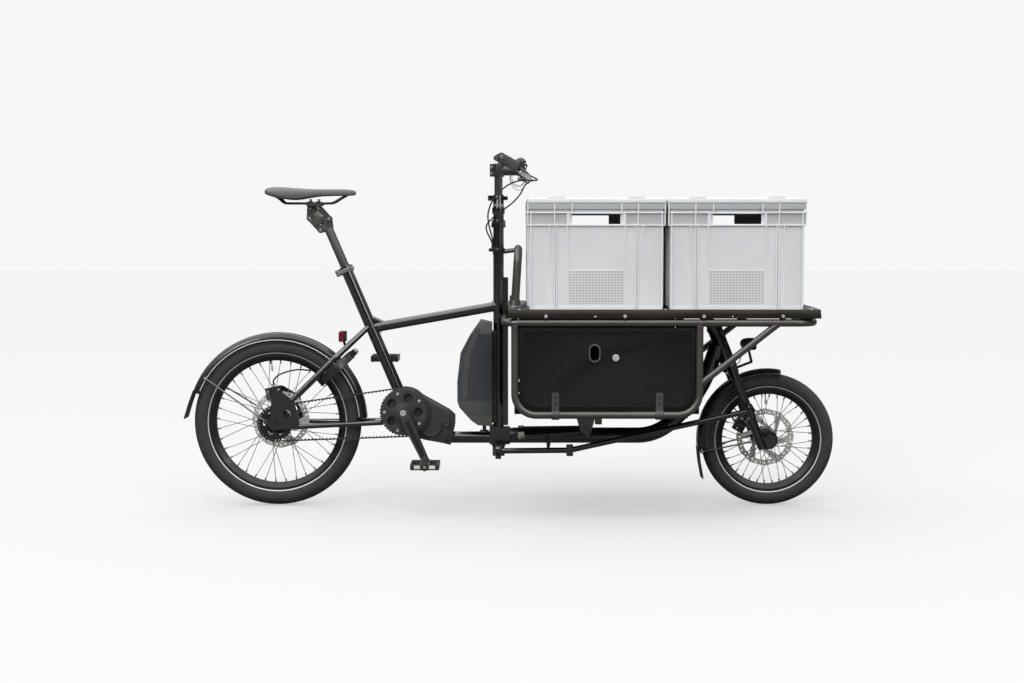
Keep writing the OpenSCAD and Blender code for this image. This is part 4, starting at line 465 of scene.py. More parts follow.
# ---------------------------------------------------------------- rims, spokes and hubs
# Black anodised box rims, dark steel spokes held by nipples, turned hubs, and stamped steel
# brake rotors on the left.
rim_black = coat("anodised_rim", (0.02, 0.02, 0.021), 0.35, metal=0.4, peel=0.1, clear=0.2)
finish_nodes(rim_black, "front_rim", "rear_rim")
spoke_steel = coat("dark_spoke_steel", (0.16, 0.16, 0.16), 0.35, metal=0.6, peel=0.02)
finish_nodes(spoke_steel, "front_spokes", "rear_spokes")
hub_black = coat("anodised_hub", (0.03, 0.03, 0.032), 0.35, metal=0.5, peel=0.1)
rotor_steel = coat("rotor_steel", (0.8, 0.785, 0.76), 0.35, metal=0.15, peel=0.3, grain=300.0, cloud=0.12)
valve_steel = coat("valve_steel", (0.7, 0.68, 0.64), 0.25, metal=0.4, peel=0.1)


def outward(degrees):
    """The way out from an axle, in the wheels' plane."""
    return Vector((math.cos(math.radians(degrees)), 0.0, math.sin(math.radians(degrees))))


def sheet(name, rings, thick, finish, place, body):
    """A flat sheet drawn as outlines, where the inner ones are holes, and set in its place."""
    drawing = bpy.data.curves.new(name, "CURVE")
    drawing.dimensions = "2D"
    drawing.fill_mode = "BOTH"
    drawing.extrude = thick / 2.0
    for spots in rings:
        line = drawing.splines.new("POLY")
        line.points.add(len(spots) - 1)
        for point, (u, v) in zip(line.points, spots):
            point.co = (u, v, 0.0, 1.0)
        line.use_cyclic_u = True
    drawing.materials.append(finish)
    holder = bpy.data.objects.new(name, drawing)
    bpy.context.collection.objects.link(holder)
    mesh = kept_mesh(holder)
    mesh.transform(place)
    return settle(name, mesh, body, 30.0, weld=True)


def rotor(name, body, place):
    """A brake rotor with a waved rim, slots in its track and windows between its arms."""
    def loop(size, count, wave=0.0):
        reaches = [size + wave * math.cos(24.0 * math.pi * k / count) for k in range(count)]
        return [(r * u, r * v) for r, (u, v) in zip(reaches, circle(count))]

    rings = [loop(0.0887, 144, 0.0012), loop(0.024, 48)]
    for i in range(36):
        a = math.radians(10.0 * i)
        away, c, s = 0.0785 + 0.0035 * (i % 2), math.cos(a + 0.9), math.sin(a + 0.9)
        slot = [(0.0016 * u + (0.002 if u > 0 else -0.002), 0.0016 * v) for u, v in circle(10)]
        rings.append([(away * math.cos(a) + c * u - s * v, away * math.sin(a) + s * u + c * v) for u, v in slot])
    for start in range(0, 360, 60):
        window = [(0.0715, start + 6 + 42.0 * j / 8) for j in range(9)]
        window += [(0.036, start + 2 - 26.0 + 36.0 * (8 - j) / 8) for j in range(9)]
        rings.append([(r * math.cos(math.radians(a)), r * math.sin(math.radians(a))) for r, a in window])
    sheet(name, rings, 0.0018, rotor_steel, Matrix.Translation(place) @ Matrix.Rotation(math.pi / 2, 4, "X"), body)


for side, hub, shell_r, flange_r, half, disc, low, high, bulge in (
        ("rear", rear_hub, 0.022, 0.035, 0.0495, 0.058, -0.038, 0.032, 0.030),
        ("front", front_hub, 0.017, 0.029, 0.0465, 0.041, -0.032, 0.024, 0.021)):
    body = side + "_wheel"
    profile = [(-half, 0.0065), (-half, shell_r - 0.004), (-half + 0.003, shell_r), (low - 0.004, shell_r),
               (low - 0.0015, shell_r + 0.002), (low - 0.0015, flange_r), (low + 0.0015, flange_r),
               (low + 0.003, bulge + 0.002), (low + 0.012, bulge), (high - 0.012, bulge), (high - 0.003, bulge + 0.002),
               (high - 0.0015, flange_r), (high + 0.0015, flange_r), (high + 0.002, shell_r + 0.002),
               (disc - 0.003, shell_r), (disc + 0.003, shell_r - 0.001), (disc + 0.003, 0.0065)]
    piece(side + "_hub_shell", [turned(hub, (0, 1, 0), profile, hub_black, 48, ring=True)], body, 30.0,
          replaces=(side + "_hub",))
    centre = hub + Vector((0.0, disc, 0.0))
    rotor(side + "_rotor", body, centre)
    screws(side + "_rotor_bolts", [centre + Vector((0.0, 0.0009, 0.0)) + 0.028 * outward(60 * i) for i in range(6)],
           (0, 1, 0), 0.0035, 0.002, dark_bolt, body)

for side, hub, rim_r, valve_at in (("rear", rear_hub, 0.190, 96.0), ("front", front_hub, 0.140, 92.6)):
    body = side + "_wheel"
    ways = [outward((i + 0.5) * 10.0 + 42.2) for i in range(36)]
    spots = [hub + Vector((0.0, -0.0025 if i % 2 else 0.0025, 0.0)) + (rim_r + 0.0005) * out
             for i, out in enumerate(ways)]
    screws(side + "_nipples", spots, [-out for out in ways], 0.0024, 0.011, spoke_steel, body, 0.6)
    out = outward(valve_at)
    piece(side + "_valve", [turned(hub + (rim_r + 0.002) * out, -out, [
        (0.0, 0.003), (0.006, 0.003), (0.007, 0.0022), (0.021, 0.0022), (0.022, 0.0035), (0.034, 0.0032),
        (0.035, 0.002)], valve_steel, 14)], body)

# ---------------------------------------------------------------- fenders
# Moulded black fenders with rubber flaps; the rear one carries a thin light edge stripe on
# each side. Wire stays end in small bolts.
fender_black = coat("fender_black", (0.01, 0.01, 0.011), 0.24, peel=0.1, clear=0.3)
flap_rubber = coat("flap_rubber", (0.028, 0.028, 0.028), 0.7, peel=0.4, grain=1600.0)
stripe_white = coat("stripe_white", (0.72, 0.72, 0.7), 0.4, peel=0.1, cloud=0.02)
for name, hub, floor_r, flap_from, flap_r, wire_y in (("rear_fender", rear_hub, 0.248, 161.0, 0.262, 0.0322),
                                                      ("front_fender", front_hub, 0.19, 188.5, 0.2, 0.0312)):
    finish_nodes(fender_black, name)
    mesh = nodes[name].data
    mesh.materials.append(flap_rubber)
    mesh.materials.append(spoke_steel)
    for face in mesh.polygons:
        x, z = face.center.x - hub.x, face.center.z - hub.z
        away = math.hypot(x, z)
        flap = math.degrees(math.atan2(z, x)) % 360.0 > flap_from and away > flap_r
        face.material_index = 1 if flap else 2 if abs(face.center.y) > wire_y or away < floor_r else 0
piece("rear_fender_stripes", [run([rear_hub + Vector((0.0, s * 0.0321, 0.0)) + 0.2545 * outward(4.0 + 1.6 * k)
                                   for k in range(97)], 0.0014, stripe_white, 6) for s in (-1, 1)], "frame")
for side, stay_end, out, body in (("rear", rear_hub + 0.256 * outward(148), 0.037, "frame"),
                                  ("front", front_hub + 0.208 * outward(190), 0.036, "fork")):
    side_screws(side + "_fender_bolts", [(stay_end.x, out, stay_end.z)], 0.0045, 0.003, silver_bolt, body)

# ---------------------------------------------------------------- brakes
# Cast calipers over the rotors, each with two clamp bolts, a banjo fitting and a thin hose.
caliper_black = coat("caliper_black", (0.025, 0.025, 0.027), 0.3, metal=0.3, peel=0.2, clear=0.2)
hose_black = coat("hose_black", (0.02, 0.02, 0.021), 0.42, peel=0.15)
for side, body, hub, at, y in (("rear", "frame", rear_hub, 103.0, 0.058), ("front", "fork", front_hub, 151.0, 0.041)):
    worked(side + "_caliper", body, [caliper_black], 0.002)
    out, along = outward(at), outward(at + 90.0)
    centre = hub + Vector((0.0, y, 0.0)) + 0.087 * out
    sides = ((1, 0.012), (-1, -0.013))
    screws(side + "_caliper_bolts", [centre + t * along + Vector((0.0, reach, 0.0)) + 0.006 * out
                                     for t in (-0.017, 0.017) for _, reach in sides],
           [(0, s, 0) for _ in range(2) for s, _ in sides], 0.0045, 0.0035, silver_bolt, body)
    piece(side + "_banjo", [turned(centre + 0.015 * out + Vector((0.0, 0.008, 0.0)), out, [
        (0, 0.006), (0.008, 0.006), (0.009, 0.004), (0.012, 0.004)], silver_bolt, 18)], body)
for side, body, route in (
        ("rear", "frame", [(-0.7355, 0.066, 0.3655), (-0.739, 0.0665, 0.378), (-0.722, 0.068, 0.396),
                           (-0.69, 0.07, 0.408), (-0.655, 0.071, 0.413), (-0.628, 0.0695, 0.411),
                           (-0.606, 0.068, 0.421), (-0.58, 0.0675, 0.447), (-0.556, 0.067, 0.473)]),
        ("front", "fork", [(0.7065, 0.049, 0.2555), (0.699, 0.0495, 0.262), (0.692, 0.052, 0.278),
                           (0.694, 0.057, 0.305), (0.6985, 0.062, 0.34), (0.6925, 0.0665, 0.375)])):
    piece(side + "_brake_hose", [run(smooth_path(route), 0.0025, hose_black)], body)

# ---------------------------------------------------------------- ring lock and lamps
# A ring lock with a painted shell and a steel bolt, a red tail lamp on a wire stalk, and a
# round headlamp with cooling fins and a bright reflector behind its fluted lens.
lock_shell = coat("lock_shell", (0.018, 0.018, 0.02), 0.3, peel=0.2, clear=0.25)
worked("ring_lock", "frame", [lock_shell, silver_bolt], 0.0025,
       lambda c, n: 1 if abs(c.y) < 0.009 and math.hypot(c.x + 0.5384, c.z - 0.4185) > 0.0855 else 0)
bare_steel = coat("bare_steel", (0.42, 0.42, 0.43), 0.3, metal=0.45, peel=0.1, grain=500.0)
finish_nodes(bare_steel, "ring_bolt")
red_lens = coat("red_lens", (0.16, 0.006, 0.01), 0.12, peel=0.6, grain=260.0, clear=0.6)
lamp_black = coat("lamp_black", (0.015, 0.015, 0.016), 0.35, peel=0.2)
worked("tail_lamp", "frame", [red_lens, lamp_black], 0.0015, lambda c, n: 0 if c.z > 0.5068 and c.x < -0.5075 else 1)
worked("headlamp", "fork", [lamp_black, dark_bolt], 0.0012, lambda c, n: 1 if c.x < 0.728 and c.z < 0.47 else 0)
glass = bpy.data.materials.new("lamp_glass")
glass.use_nodes = True
glass_shader = glass.node_tree.nodes["Principled BSDF"]
for label, value in (("Transmission Weight", 0.9), ("Roughness", 0.06), ("IOR", 1.45)):
    glass_shader.inputs[label].default_value = value
glass_place = add_node(glass.node_tree, "ShaderNodeTexCoord")
flutes = add_node(glass.node_tree, "ShaderNodeTexWave", Scale=90.0)
flutes.bands_direction = "Y"
glass_bump = add_node(glass.node_tree, "ShaderNodeBump", Strength=0.3, Distance=0.001)
link_nodes(glass.node_tree, (glass_place, "Object", flutes, "Vector"), (flutes, "Fac", glass_bump, "Height"),
           (glass_bump, "Normal", glass_shader, "Normal"))
mirror = coat("lamp_mirror", (0.8, 0.8, 0.8), 0.12, metal=1.0, peel=0.1)


def lamp_ring(x, profile, finish, ring=True):
    """Turned round the headlamp's own axis, which points forward."""
    return turned((x, 0.0, 0.498), (1, 0, 0), profile, finish, 32, ring)


piece("headlamp_lens", [
    lamp_ring(0.7604, [(0.0, 0.0155), (0.001, 0.0155), (0.003, 0.009), (0.0037, 0.003)], glass, False),
    lamp_ring(0.7592, [(0.0, 0.016), (0.0026, 0.0168), (0.0026, 0.0158), (0.0006, 0.0152)], mirror)], "fork")
piece("headlamp_fins", [lamp_ring(0.7335 + 0.005 * k, [
    (0.0, 0.0186), (0.0, 0.0198), (0.0018, 0.0198), (0.0018, 0.0186)], lamp_black) for k in range(4)], "fork")
lamp_lead = [(0.727, 0.0, 0.4835), (0.722, 0.004, 0.472), (0.716, 0.008, 0.456), (0.712, 0.011, 0.441),
             (0.703, 0.015, 0.434)]
piece("headlamp_lead", [run(smooth_path(lamp_lead), 0.0016, hose_black, 8)], "fork")

# ---------------------------------------------------------------- belt drive
# A toothed rubber belt round two sprockets, forged cranks with a silver axle bolt, and caged
# pedals with light reflectors.
belt_rubber = coat("belt_rubber", (0.02, 0.021, 0.026), 0.6, peel=0.3, grain=1800.0)
crank_axle = Vector((-0.323, 0.0, 0.293))
small_r, large_r, band_t, pitch = 0.05282, 0.07383, 0.003, 0.011
span = crank_axle - rear_hub
lean, spread = math.degrees(math.atan2(span.z, span.x)), math.degrees(math.asin((large_r - small_r) / span.length))


def belt_loop(grow):
    """The belt's outline round both sprockets."""
    line = [rear_hub + (small_r + grow) * outward(lean + 90 + spread + (180 - 2 * spread) * k / 48) for k in range(49)]
    line += [crank_axle + (large_r + grow) * outward(lean - 90 - spread + (180 + 2 * spread) * k / 64)
             for k in range(65)]
    return line


outer, inner = belt_loop(band_t), belt_loop(0.0)
n = len(outer)
points = [Vector((p.x, y, p.z)) for line in (outer, inner) for y in (-0.063, -0.053) for p in line]
faces = []
for i in range(n):
    j = (i + 1) % n
    faces += [[i, j, n + j, n + i], [2 * n + i, 3 * n + i, 3 * n + j, 2 * n + j],
              [i, 2 * n + i, 2 * n + j, j], [n + i, n + j, 3 * n + j, 3 * n + i]]
belt = [(points, faces, belt_rubber)]
for way in (1, -1):
    out = outward(lean + way * (90 + spread))
    start = rear_hub + small_r * out
    straight = crank_axle + large_r * out - start
    along = straight.normalized()
    for k in range(1, int(straight.length / pitch)):
        root = start + pitch * k * along
        corners = [root + u * along - v * out
                   for u, v in ((-0.0026, 0), (0.0026, 0), (0.0017, 0.0026), (-0.0017, 0.0026))]
        belt.append(slab([(c.x, c.z) for c in corners], -0.0628, -0.0532, belt_rubber))
piece("toothed_belt", belt, "frame", 30.0, replaces=("belt",))
ring_black = coat("ring_black", (0.03, 0.03, 0.031), 0.4, metal=0.5, peel=0.15)
worked("rear_sprocket", "rear_sprocket", [ring_black], 0.0006)
crank_black = coat("forged_crank", (0.055, 0.055, 0.055), 0.36, metal=0.25, peel=0.25, clear=0.1)
worked("crankset", "crank", [crank_black, bare_steel], 0.0016, lambda c, n: 1 if abs(c.y) > 0.0885 else 0)
piece("crank_axle_bolts", [turned(crank_axle + Vector((0.0, s * 0.0875, 0.0)), (0, s, 0), [
    (0.0, 0.0095), (0.0022, 0.0092), (0.0026, 0.0075), (0.0026, 0.0045), (0.0008, 0.0045)], silver_bolt, 24)
    for s in (-1, 1)], "crank")
screws("chainring_bolts", [crank_axle + Vector((0.0, -0.064, 0.0)) + 0.059 * outward(72 * i + 36) for i in range(5)],
       (0, -1, 0), 0.0048, 0.002, silver_bolt, "crank")
down, beam = outward(24.7 - 90.0), outward(24.7)
panels = []
for way, y in ((1, -0.0879), (-1, 0.0879)):
    outline = [crank_axle + way * (u * down + v * beam)
               for u, v in ((0.028, 0.0075), (0.145, 0.0048), (0.145, -0.0048), (0.028, -0.0075))]
    panels.append(slab([(p.x, p.z) for p in outline], *sorted((y, y * 1.008)), ring_black))
piece("crank_arm_panels", panels, "crank", bevel=0.0004)
pedal_grey = coat("pedal_grey", (0.028, 0.028, 0.029), 0.5, metal=0.1, peel=0.5, grain=1300.0)
reflector = coat("pedal_reflector", (0.75, 0.73, 0.66), 0.2, peel=1.0, grain=420.0, clear=0.5)
for name, x, z, s in (("pedal_right", -0.2532, 0.1413, -1), ("pedal_left", -0.3928, 0.4447, 1)):
    worked(name, name, [pedal_grey], 0.0012)
    lenses = [brick((x + u - 0.0085, s * 0.186, z - 0.0045), (x + u + 0.0085, s * 0.1872, z + 0.0045), reflector)
              for u in (-0.0225, 0.0225)]
    lenses += [brick((x + u - 0.0012, s * 0.104, z - 0.0055), (x + u + 0.0012, s * 0.172, z + 0.0055), reflector)
               for u in (-0.0425, 0.0425)]
    piece(name + "_reflectors", lenses, name, bevel=0.0004)
    pins = [(x + u, s * y, z + w * 0.0088) for u in (-0.038, -0.0125, 0.0125, 0.038)
            for y in (0.096, 0.138, 0.18) for w in (-1, 1)]
    screws(name + "_studs", pins, [(0, 0, -1), (0, 0, 1)] * 12, 0.0014, 0.0024, bare_steel, name, 0.4)

# ---------------------------------------------------------------- cargo frame
# The rack over the lockers: round steel tubes bent at the corners, in a satin black powder
# coat that shows its weld beads and a soft sheen along the tubes.
satin_black = coat("satin_black_coat", (0.12, 0.117, 0.112), 0.34, metal=0.75, peel=0.4, grain=1500.0, specular=0.7)
finish_nodes(satin_black, "rack_frame", "side_hoops")
shell_grey = coat("locker_shell_coat", (0.02, 0.02, 0.02), 0.5, peel=0.5, grain=1500.0)
stop_rubber = coat("stop_rubber", (0.33, 0.31, 0.27), 0.7, peel=0.3)
worked("locker_shell", "frame", [shell_grey, stop_rubber], 0.0008,
       lambda c, n: 1 if 0.26 < c.x < 0.286 and -0.071 < c.y < -0.045 and 0.25 < c.z < 0.3005 else 0)
foot_silver = coat("cast_foot", (0.5, 0.49, 0.47), 0.38, metal=0.9, peel=0.5, grain=900.0)
worked("guard_hoop", "frame", [satin_black, foot_silver], 0.001, lambda c, n: 1 if c.z < 0.6262 else 0)


def bead(centre, axis, reach, size, finish):
    """A weld bead: a thin ring of overlapping ripples round a tube."""
    aim = Vector(axis).normalized()
    side = aim.orthogonal().normalized()
    ring = circle(84)
    path = [Vector(centre) + reach * (u * side + v * aim.cross(side)) for u, v in ring + ring[:1]]
    return run(path, [size * (1.0 if k % 3 else 0.8) for k in range(85)], finish, 6)


beads = []
for s in (-1, 1):
    for x, z, axis, reach in ((0.017, 0.5695, (0, 0, 1), 0.0112), (0.554, 0.5695, (0, 0, 1), 0.0112),
                              (0.7768, 0.5738, (0.785, 0, 0.62), 0.0101), (0.566, 0.4105, (0.785, 0, 0.62), 0.0101)):
        beads.append(bead((x, s * 0.3, z), axis, reach, 0.0016, satin_black))
piece("rack_weld_beads", beads, "frame", 60.0)
piece("main_frame_weld_beads", [bead((x, 0.0, z), (1, 0, 0.215), 0.0152, 0.0014, gloss_black)
                                for x, z in ((-0.0495, 0.6166), (-0.3985, 0.5475))], "frame", 60.0)

# ---------------------------------------------------------------- deck
# A film-faced plywood board in aluminium edging, with the screws that hold the edging and a
# perforated lashing rail at each end.
board_film = coat("board_film", (0.03, 0.027, 0.024), 0.45, peel=1.2, grain=700.0, cloud=0.15)
board_edge = coat("board_plies", (0.045, 0.034, 0.024), 0.6, peel=1.5, grain=120.0, cloud=0.25, stretch=(0.3, 0.3, 8.0))
worked("deck_board", "frame", [board_film, board_edge], 0.001, lambda c, n: 1 if abs(n.z) < 0.5 else 0)
edge_metal = coat("edge_profile", (0.026, 0.025, 0.024), 0.36, metal=0.6, peel=0.15, grain=300.0,
                  stretch=(0.05, 1.0, 1.0))
light_lip = coat("lip_profile", (0.3, 0.29, 0.28), 0.4, metal=0.8, peel=0.15, grain=300.0, stretch=(1.0, 0.05, 1.0))
worked("deck_edging", "frame", [edge_metal, silver_bolt, light_lip], 0.0012,
       lambda c, n: 1 if abs(c.y) > 0.3101 else 2 if c.z > 0.6191 else 0)
side_screws("edging_screws", [(x, 0.3098, 0.6) for x in (0.107, 0.336, 0.565, 0.794)], 0.0048, 0.0031,
            silver_bolt, "frame")
board_top = 0.6188
screws("deck_top_screws", [(0.03 + 0.106 * k, s * 0.3045, board_top) for s in (-1, 1) for k in range(9)],
       (0, 0, 1), 0.0038, 0.0016, silver_bolt, "frame")
rail_silver = coat("lashing_rail", (0.55, 0.54, 0.52), 0.35, metal=0.9, peel=0.15, grain=400.0)
for name, x0, x1, half, thick, hole in (("lashing_rail", 0.874, 0.9, 0.285, 0.0024, 0.0065),
                                        ("rear_lashing_rail", 0.0075, 0.0285, 0.155, 0.0021, 0.0055)):
    rings, pitch = [[(x0, -half), (x1, -half), (x1, half), (x0, half)]], 0.0238
    for k in range(int(2 * half / pitch)):
        rings.append([((x0 + x1) / 2 + hole * u, pitch * (k + 0.5) - half + hole * v) for u, v in circle(14)])
    sheet(name, rings, thick, rail_silver, Matrix.Translation((0.0, 0.0, board_top + thick / 2)), "frame")

# ---------------------------------------------------------------- hatches
# Flat composite doors with a matte textured face, a pull slot in a moulded rim, blind rivets
# of the folds behind, two hinge straps, and a turned lock.
hatch_face = coat("hatch_face", (0.006, 0.006, 0.0064), 0.6, peel=1.0, grain=2400.0, cloud=0.2, specular=0.22)
hatch_rim = coat("hatch_rim", (0.085, 0.084, 0.08), 0.5, peel=0.4)
strap_grey = coat("strap_grey", (0.075, 0.074, 0.07), 0.45, metal=0.3, peel=0.4)
lock_silver = coat("lock_silver", (0.6, 0.6, 0.59), 0.33, metal=0.35, peel=0.3, grain=900.0)
strap_at = (0.135, 0.438)
rivets = [(x, z) for z in (0.5575, 0.3875) for x in (0.0606, 0.2113, 0.3591, 0.5083)]
rivets += [(0.0452, 0.5405), (0.5242, 0.5466), (0.0462, 0.4005), (0.5235, 0.4005)]


def hatch_finish(c, n):
    """The face, or 1 for the pull's rim, or 2 for the hinge edge and its straps."""
    proud = abs(c.y) > 0.3031
    if c.z < 0.3235 or (proud and c.z < 0.377 and any(abs(c.x - x) < 0.013 for x in strap_at)):
        return 2
    return 1 if proud and 0.228 < c.x < 0.27 and 0.46 < c.z < 0.524 else 0


for side, s in (("right", -1), ("left", 1)):
    body = "hatch_" + side
    worked(body, body, [hatch_face, hatch_rim, strap_grey], 0.0008, hatch_finish)
    screws(body + "_rivets", [(x, s * 0.3028, z) for x, z in rivets], (0, s, 0), 0.0032, 0.0012, dark_bolt, body, 0.35)
    piece(body + "_straps", [slab([(x + u, z) for u, z in (
        (-0.0095, 0.331), (0.0095, 0.331), (0.0095, 0.3745), (0.007, 0.3765), (-0.007, 0.3765), (-0.0095, 0.3745))],
        *sorted((s * 0.3055, s * 0.3068)), strap_grey) for x in strap_at], body, bevel=0.0005)
    screws(body + "_strap_bolts", [(x, s * 0.3066, z) for x in strap_at for z in (0.343, 0.363)], (0, s, 0),
           0.003, 0.0014, dark_bolt, body)
    worked("lock_" + side, "lock_" + side, [lock_silver], 0.0006)

# ---------------------------------------------------------------- stacking boxes
# Injection-moulded grey boxes: ribbed sides with a stiff rim, an open grip in each end, and a
# field of small squares low on every end. The lids snap over the rim.
box_grey = coat("box_grey", (0.82, 0.835, 0.84), 0.42, peel=0.3, grain=2600.0, cloud=0.02, scuffs=0.12)
# A darker grey of painted shade: it stands for the shade in the recessed rows of the rim and grip band, and behind the
# field of squares.
painted_shade_grey = coat("box_painted_shade_grey", (0.5, 0.51, 0.515), 0.46, peel=0.3, grain=2600.0, cloud=0.02)
rim_grey = coat("box_rim_grey", (0.82, 0.83, 0.835), 0.4, peel=0.25, grain=2600.0, cloud=0.02)


def small_bar(tree, given):
    """A bar as wide, high and long as it is told."""
    sizes = add_node(tree, "ShaderNodeCombineXYZ")
    bar = add_node(tree, "GeometryNodeMeshCube")
    link_nodes(tree, (given, "Bar width", sizes, "X"), (given, "Bar height", sizes, "Y"),
               (given, "Bar length", sizes, "Z"), (sizes, "Vector", bar, "Size"))
    return bar


moulded_bars = repeater("moulded_bars", ("Bar length", "Bar width", "Bar height"), small_bar)
# Trims of one end: from x and to x in the box, from y and to y, from z and to z, and the finish.
end_trims = [(0.0085, 0.3915, 0.2945, 0.2967, 0.6195, 0.6253, rim_grey)]
end_trims += [(u, u + 0.003, 0.2945, 0.299, 0.6233, 0.9043, box_grey) for u in (0.0085, 0.3885)]
end_trims += [(u, u + 0.0028, 0.2945, 0.2985, 0.6233, 0.868, rim_grey) for u in (0.0775, 0.084, 0.313, 0.3195)]
# Panels of painted shade: darker grey behind the field of squares and beside the grip.
end_trims += [(u, v, 0.2935, 0.2944, low, high, painted_shade_grey) for u, v, low, high in (
    (0.1205, 0.2795, 0.6378, 0.7328), (0.0035, 0.1125, 0.866, 0.8972), (0.2875, 0.3965, 0.866, 0.8972))]
end_trims += [(0.0, 0.4, 0.2995, 0.3025, 0.929, 0.9341, rim_grey)]
end_trims += [(u, u + 0.0028, 0.2995, 0.3025, 0.8985, 0.93, rim_grey)
              for u in (0.0, 0.0775, 0.1285, 0.2715, 0.3195, 0.3972)]
end_trims += [(u, u + 0.0028, 0.294, 0.2995, 0.867, 0.9, rim_grey) for u in (0.0, 0.0775, 0.3195, 0.3972)]
end_trims += [(u, u + 0.006, 0.294, 0.2998, 0.8663, 0.8963, rim_grey) for u in (0.1155, 0.2785)]
end_trims += [(0.1215, 0.2785, 0.294, 0.2998, 0.8968, 0.9018, rim_grey)]
for side, x0 in (("rear", 0.053), ("front", 0.461)):
    body, x1, middle = "box_" + side, x0 + 0.4, x0 + 0.2
    # The faces of the recessed rows of the rim and grip band take painted shade, darker grey where the lips shade them.
    shell = worked(body, body, [box_grey, painted_shade_grey], 0.0012,
                   lambda c, n: 1 if (0.868 < c.z < 0.895 or 0.905 < c.z < 0.933) and abs(n.z) < 0.5 else 0)
    for v in shell.data.vertices:
        if abs(v.co.y) > 0.2943 and x0 + 0.02 < v.co.x < x1 - 0.02 and 0.622 < v.co.z < 0.857:
            v.co.y = math.copysign(0.2942, v.co.y)
    for s, end in ((-1, "near"), (1, "far")):
        y, grid_low, grid_high = s * 0.2941, 0.6388, 0.7318
        for way, places, facing, values in (
                ("up", [(middle - 0.0785 + 0.157 * k / 17, y, (grid_low + grid_high) / 2) for k in range(18)],
                 (0, 0, 1), (0.093, 0.0017, 0.0028)),
                ("level", [(middle, y, grid_low + 0.093 * k / 12) for k in range(13)],
                 (1, 0, 0), (0.158, 0.0028, 0.0017))):
            repeat("%s_%s_grid_%s" % (body, end, way), moulded_bars, places, facing,
                   dict(zip(("Bar length", "Bar width", "Bar height"), values)), rim_grey, body)
    trims = [brick((x0 + a, s * c, e), (x0 + b, s * d, f), finish)
             for s in (-1, 1) for a, b, c, d, e, f, finish in end_trims]
    for x, proud in ((x0 + 0.0055, x0 + 0.001), (x1 - 0.0055, x1 - 0.001)):
        trims += [brick((x, 0.06 * k - 0.0015, 0.6273), (proud, 0.06 * k + 0.0015, 0.8543), box_grey)
                  for k in range(-4, 5)]
    piece(body + "_trims", trims, body, bevel=0.0006)
    worked("lid_" + side, "lid_" + side, [rim_grey, box_grey], 0.0015,
           lambda c, n: 1 if c.z > 0.9402 and n.z > 0.9 else 0)
    ribs = []
    for s in (-1, 1):
        for x in (middle - 0.115, middle + 0.115):
            ribs.append(brick((x - 0.024, s * 0.2995, 0.9405), (x + 0.024, s * 0.2695, 0.9452), rim_grey))
            ribs.append(brick((x - 0.016, s * 0.2955, 0.945), (x + 0.016, s * 0.2755, 0.9466), box_grey))
    ribs += [brick((x0 + 0.03, 0.1 * k - 0.002, 0.9434), (x1 - 0.03, 0.1 * k + 0.002, 0.9448), box_grey)
             for k in range(-2, 3)]
    piece("lid_%s_ribs" % side, ribs, "lid_" + side, bevel=0.0008)

# ---------------------------------------------------------------- handlebar and its fittings
# A telescoping post with index holes drawn as dark patches of painted shade, a forged stem, a
# swept-back bar with contoured grips, brake levers, a bell, and a small display.
mast_x, post_r = -0.033, 0.0125
post_black = coat("post_black", (0.065, 0.065, 0.064), 0.34, metal=0.2, peel=0.15)
stem_black = coat("stem_black", (0.05, 0.05, 0.05), 0.34, metal=0.5, peel=0.3, clear=0.15)
worked("bar_post", "bar", [stem_black, post_black], 0.0012,
       lambda c, n: 1 if c.z < 1.0115 and math.hypot(c.x - mast_x, c.y) < post_r + 0.0002 else 0)
bar_black = coat("bar_black", (0.02, 0.02, 0.021), 0.3, metal=0.4, peel=0.15)
finish_nodes(bar_black, "handlebar")
band_grey = coat("scale_band", (0.33, 0.33, 0.33), 0.45, metal=0.4, peel=0.2)
piece("sleeve_band", [turned((mast_x, 0.0, 0.922), (0, 0, 1), [
    (0.0, 0.0164), (0.0, 0.0168), (0.007, 0.0168), (0.007, 0.0164)], band_grey, 40, ring=True)], "steering")
# Each index hole is a thin dark patch just proud of the post: painted shade in place of a drilled hole's depth.
painted_hole_shade = coat("index_hole_painted_shade", (0.003, 0.003, 0.003), 0.9, specular=0.1)
painted_holes = []
for height in [0.9005 + 0.0098 * k for k in range(11)]:
    for turn in (3.95, 0.8):
        points = []
        for deep, reach in ((post_r - 0.0001, 0.0018), (post_r + 0.000025, 0.0018),
                            (post_r + 0.000025, 0.0009), (post_r + 0.000025, 0.00002)):
            for u, v in circle(12):
                a = turn + reach / deep * u
                points.append(Vector((mast_x + deep * math.cos(a), deep * math.sin(a), height + reach * v)))
        painted_holes.append((points, wrap(4, 12), painted_hole_shade))
piece("post_index_holes_painted", painted_holes, "bar")
screws("stem_bolts", [(-0.0545, -0.011, z) for z in (1.022, 1.041)]
       + [(0.0485, y, z) for z in (1.0405, 1.0195) for y in (-0.015, 0.015)],
       [(0, -1, 0)] * 2 + [(0.8, 0, 0.6)] * 2 + [(0.8, 0, -0.6)] * 2, 0.0036, 0.0028, silver_bolt, "bar")
lever_silver = coat("lever_metal", (0.3, 0.3, 0.3), 0.35, metal=0.4, peel=0.3)
lever_black = coat("lever_black", (0.03, 0.03, 0.031), 0.35, metal=0.4, peel=0.2, clear=0.2)
for side in ("right", "left"):
    worked("brake_lever_" + side, "lever_" + side, [lever_silver], 0.0006)
worked("bar_controls", "bar", [lever_black], 0.001)
worked("mast_lever", "mast_lever", [lever_black], 0.001)
worked("steer_column", "steering", [gloss_black, bare_steel], 0.0006,
       lambda c, n: 1 if c.y < -0.12 and c.z > 0.1885 else 0)
screen = coat("display_glass", (0.015, 0.017, 0.02), 0.08, peel=0.0, clear=0.8)
tilt = Matrix.Translation((0.021, 0.023, 1.0471)) @ Matrix.Rotation(math.radians(15.0), 4, "Y")
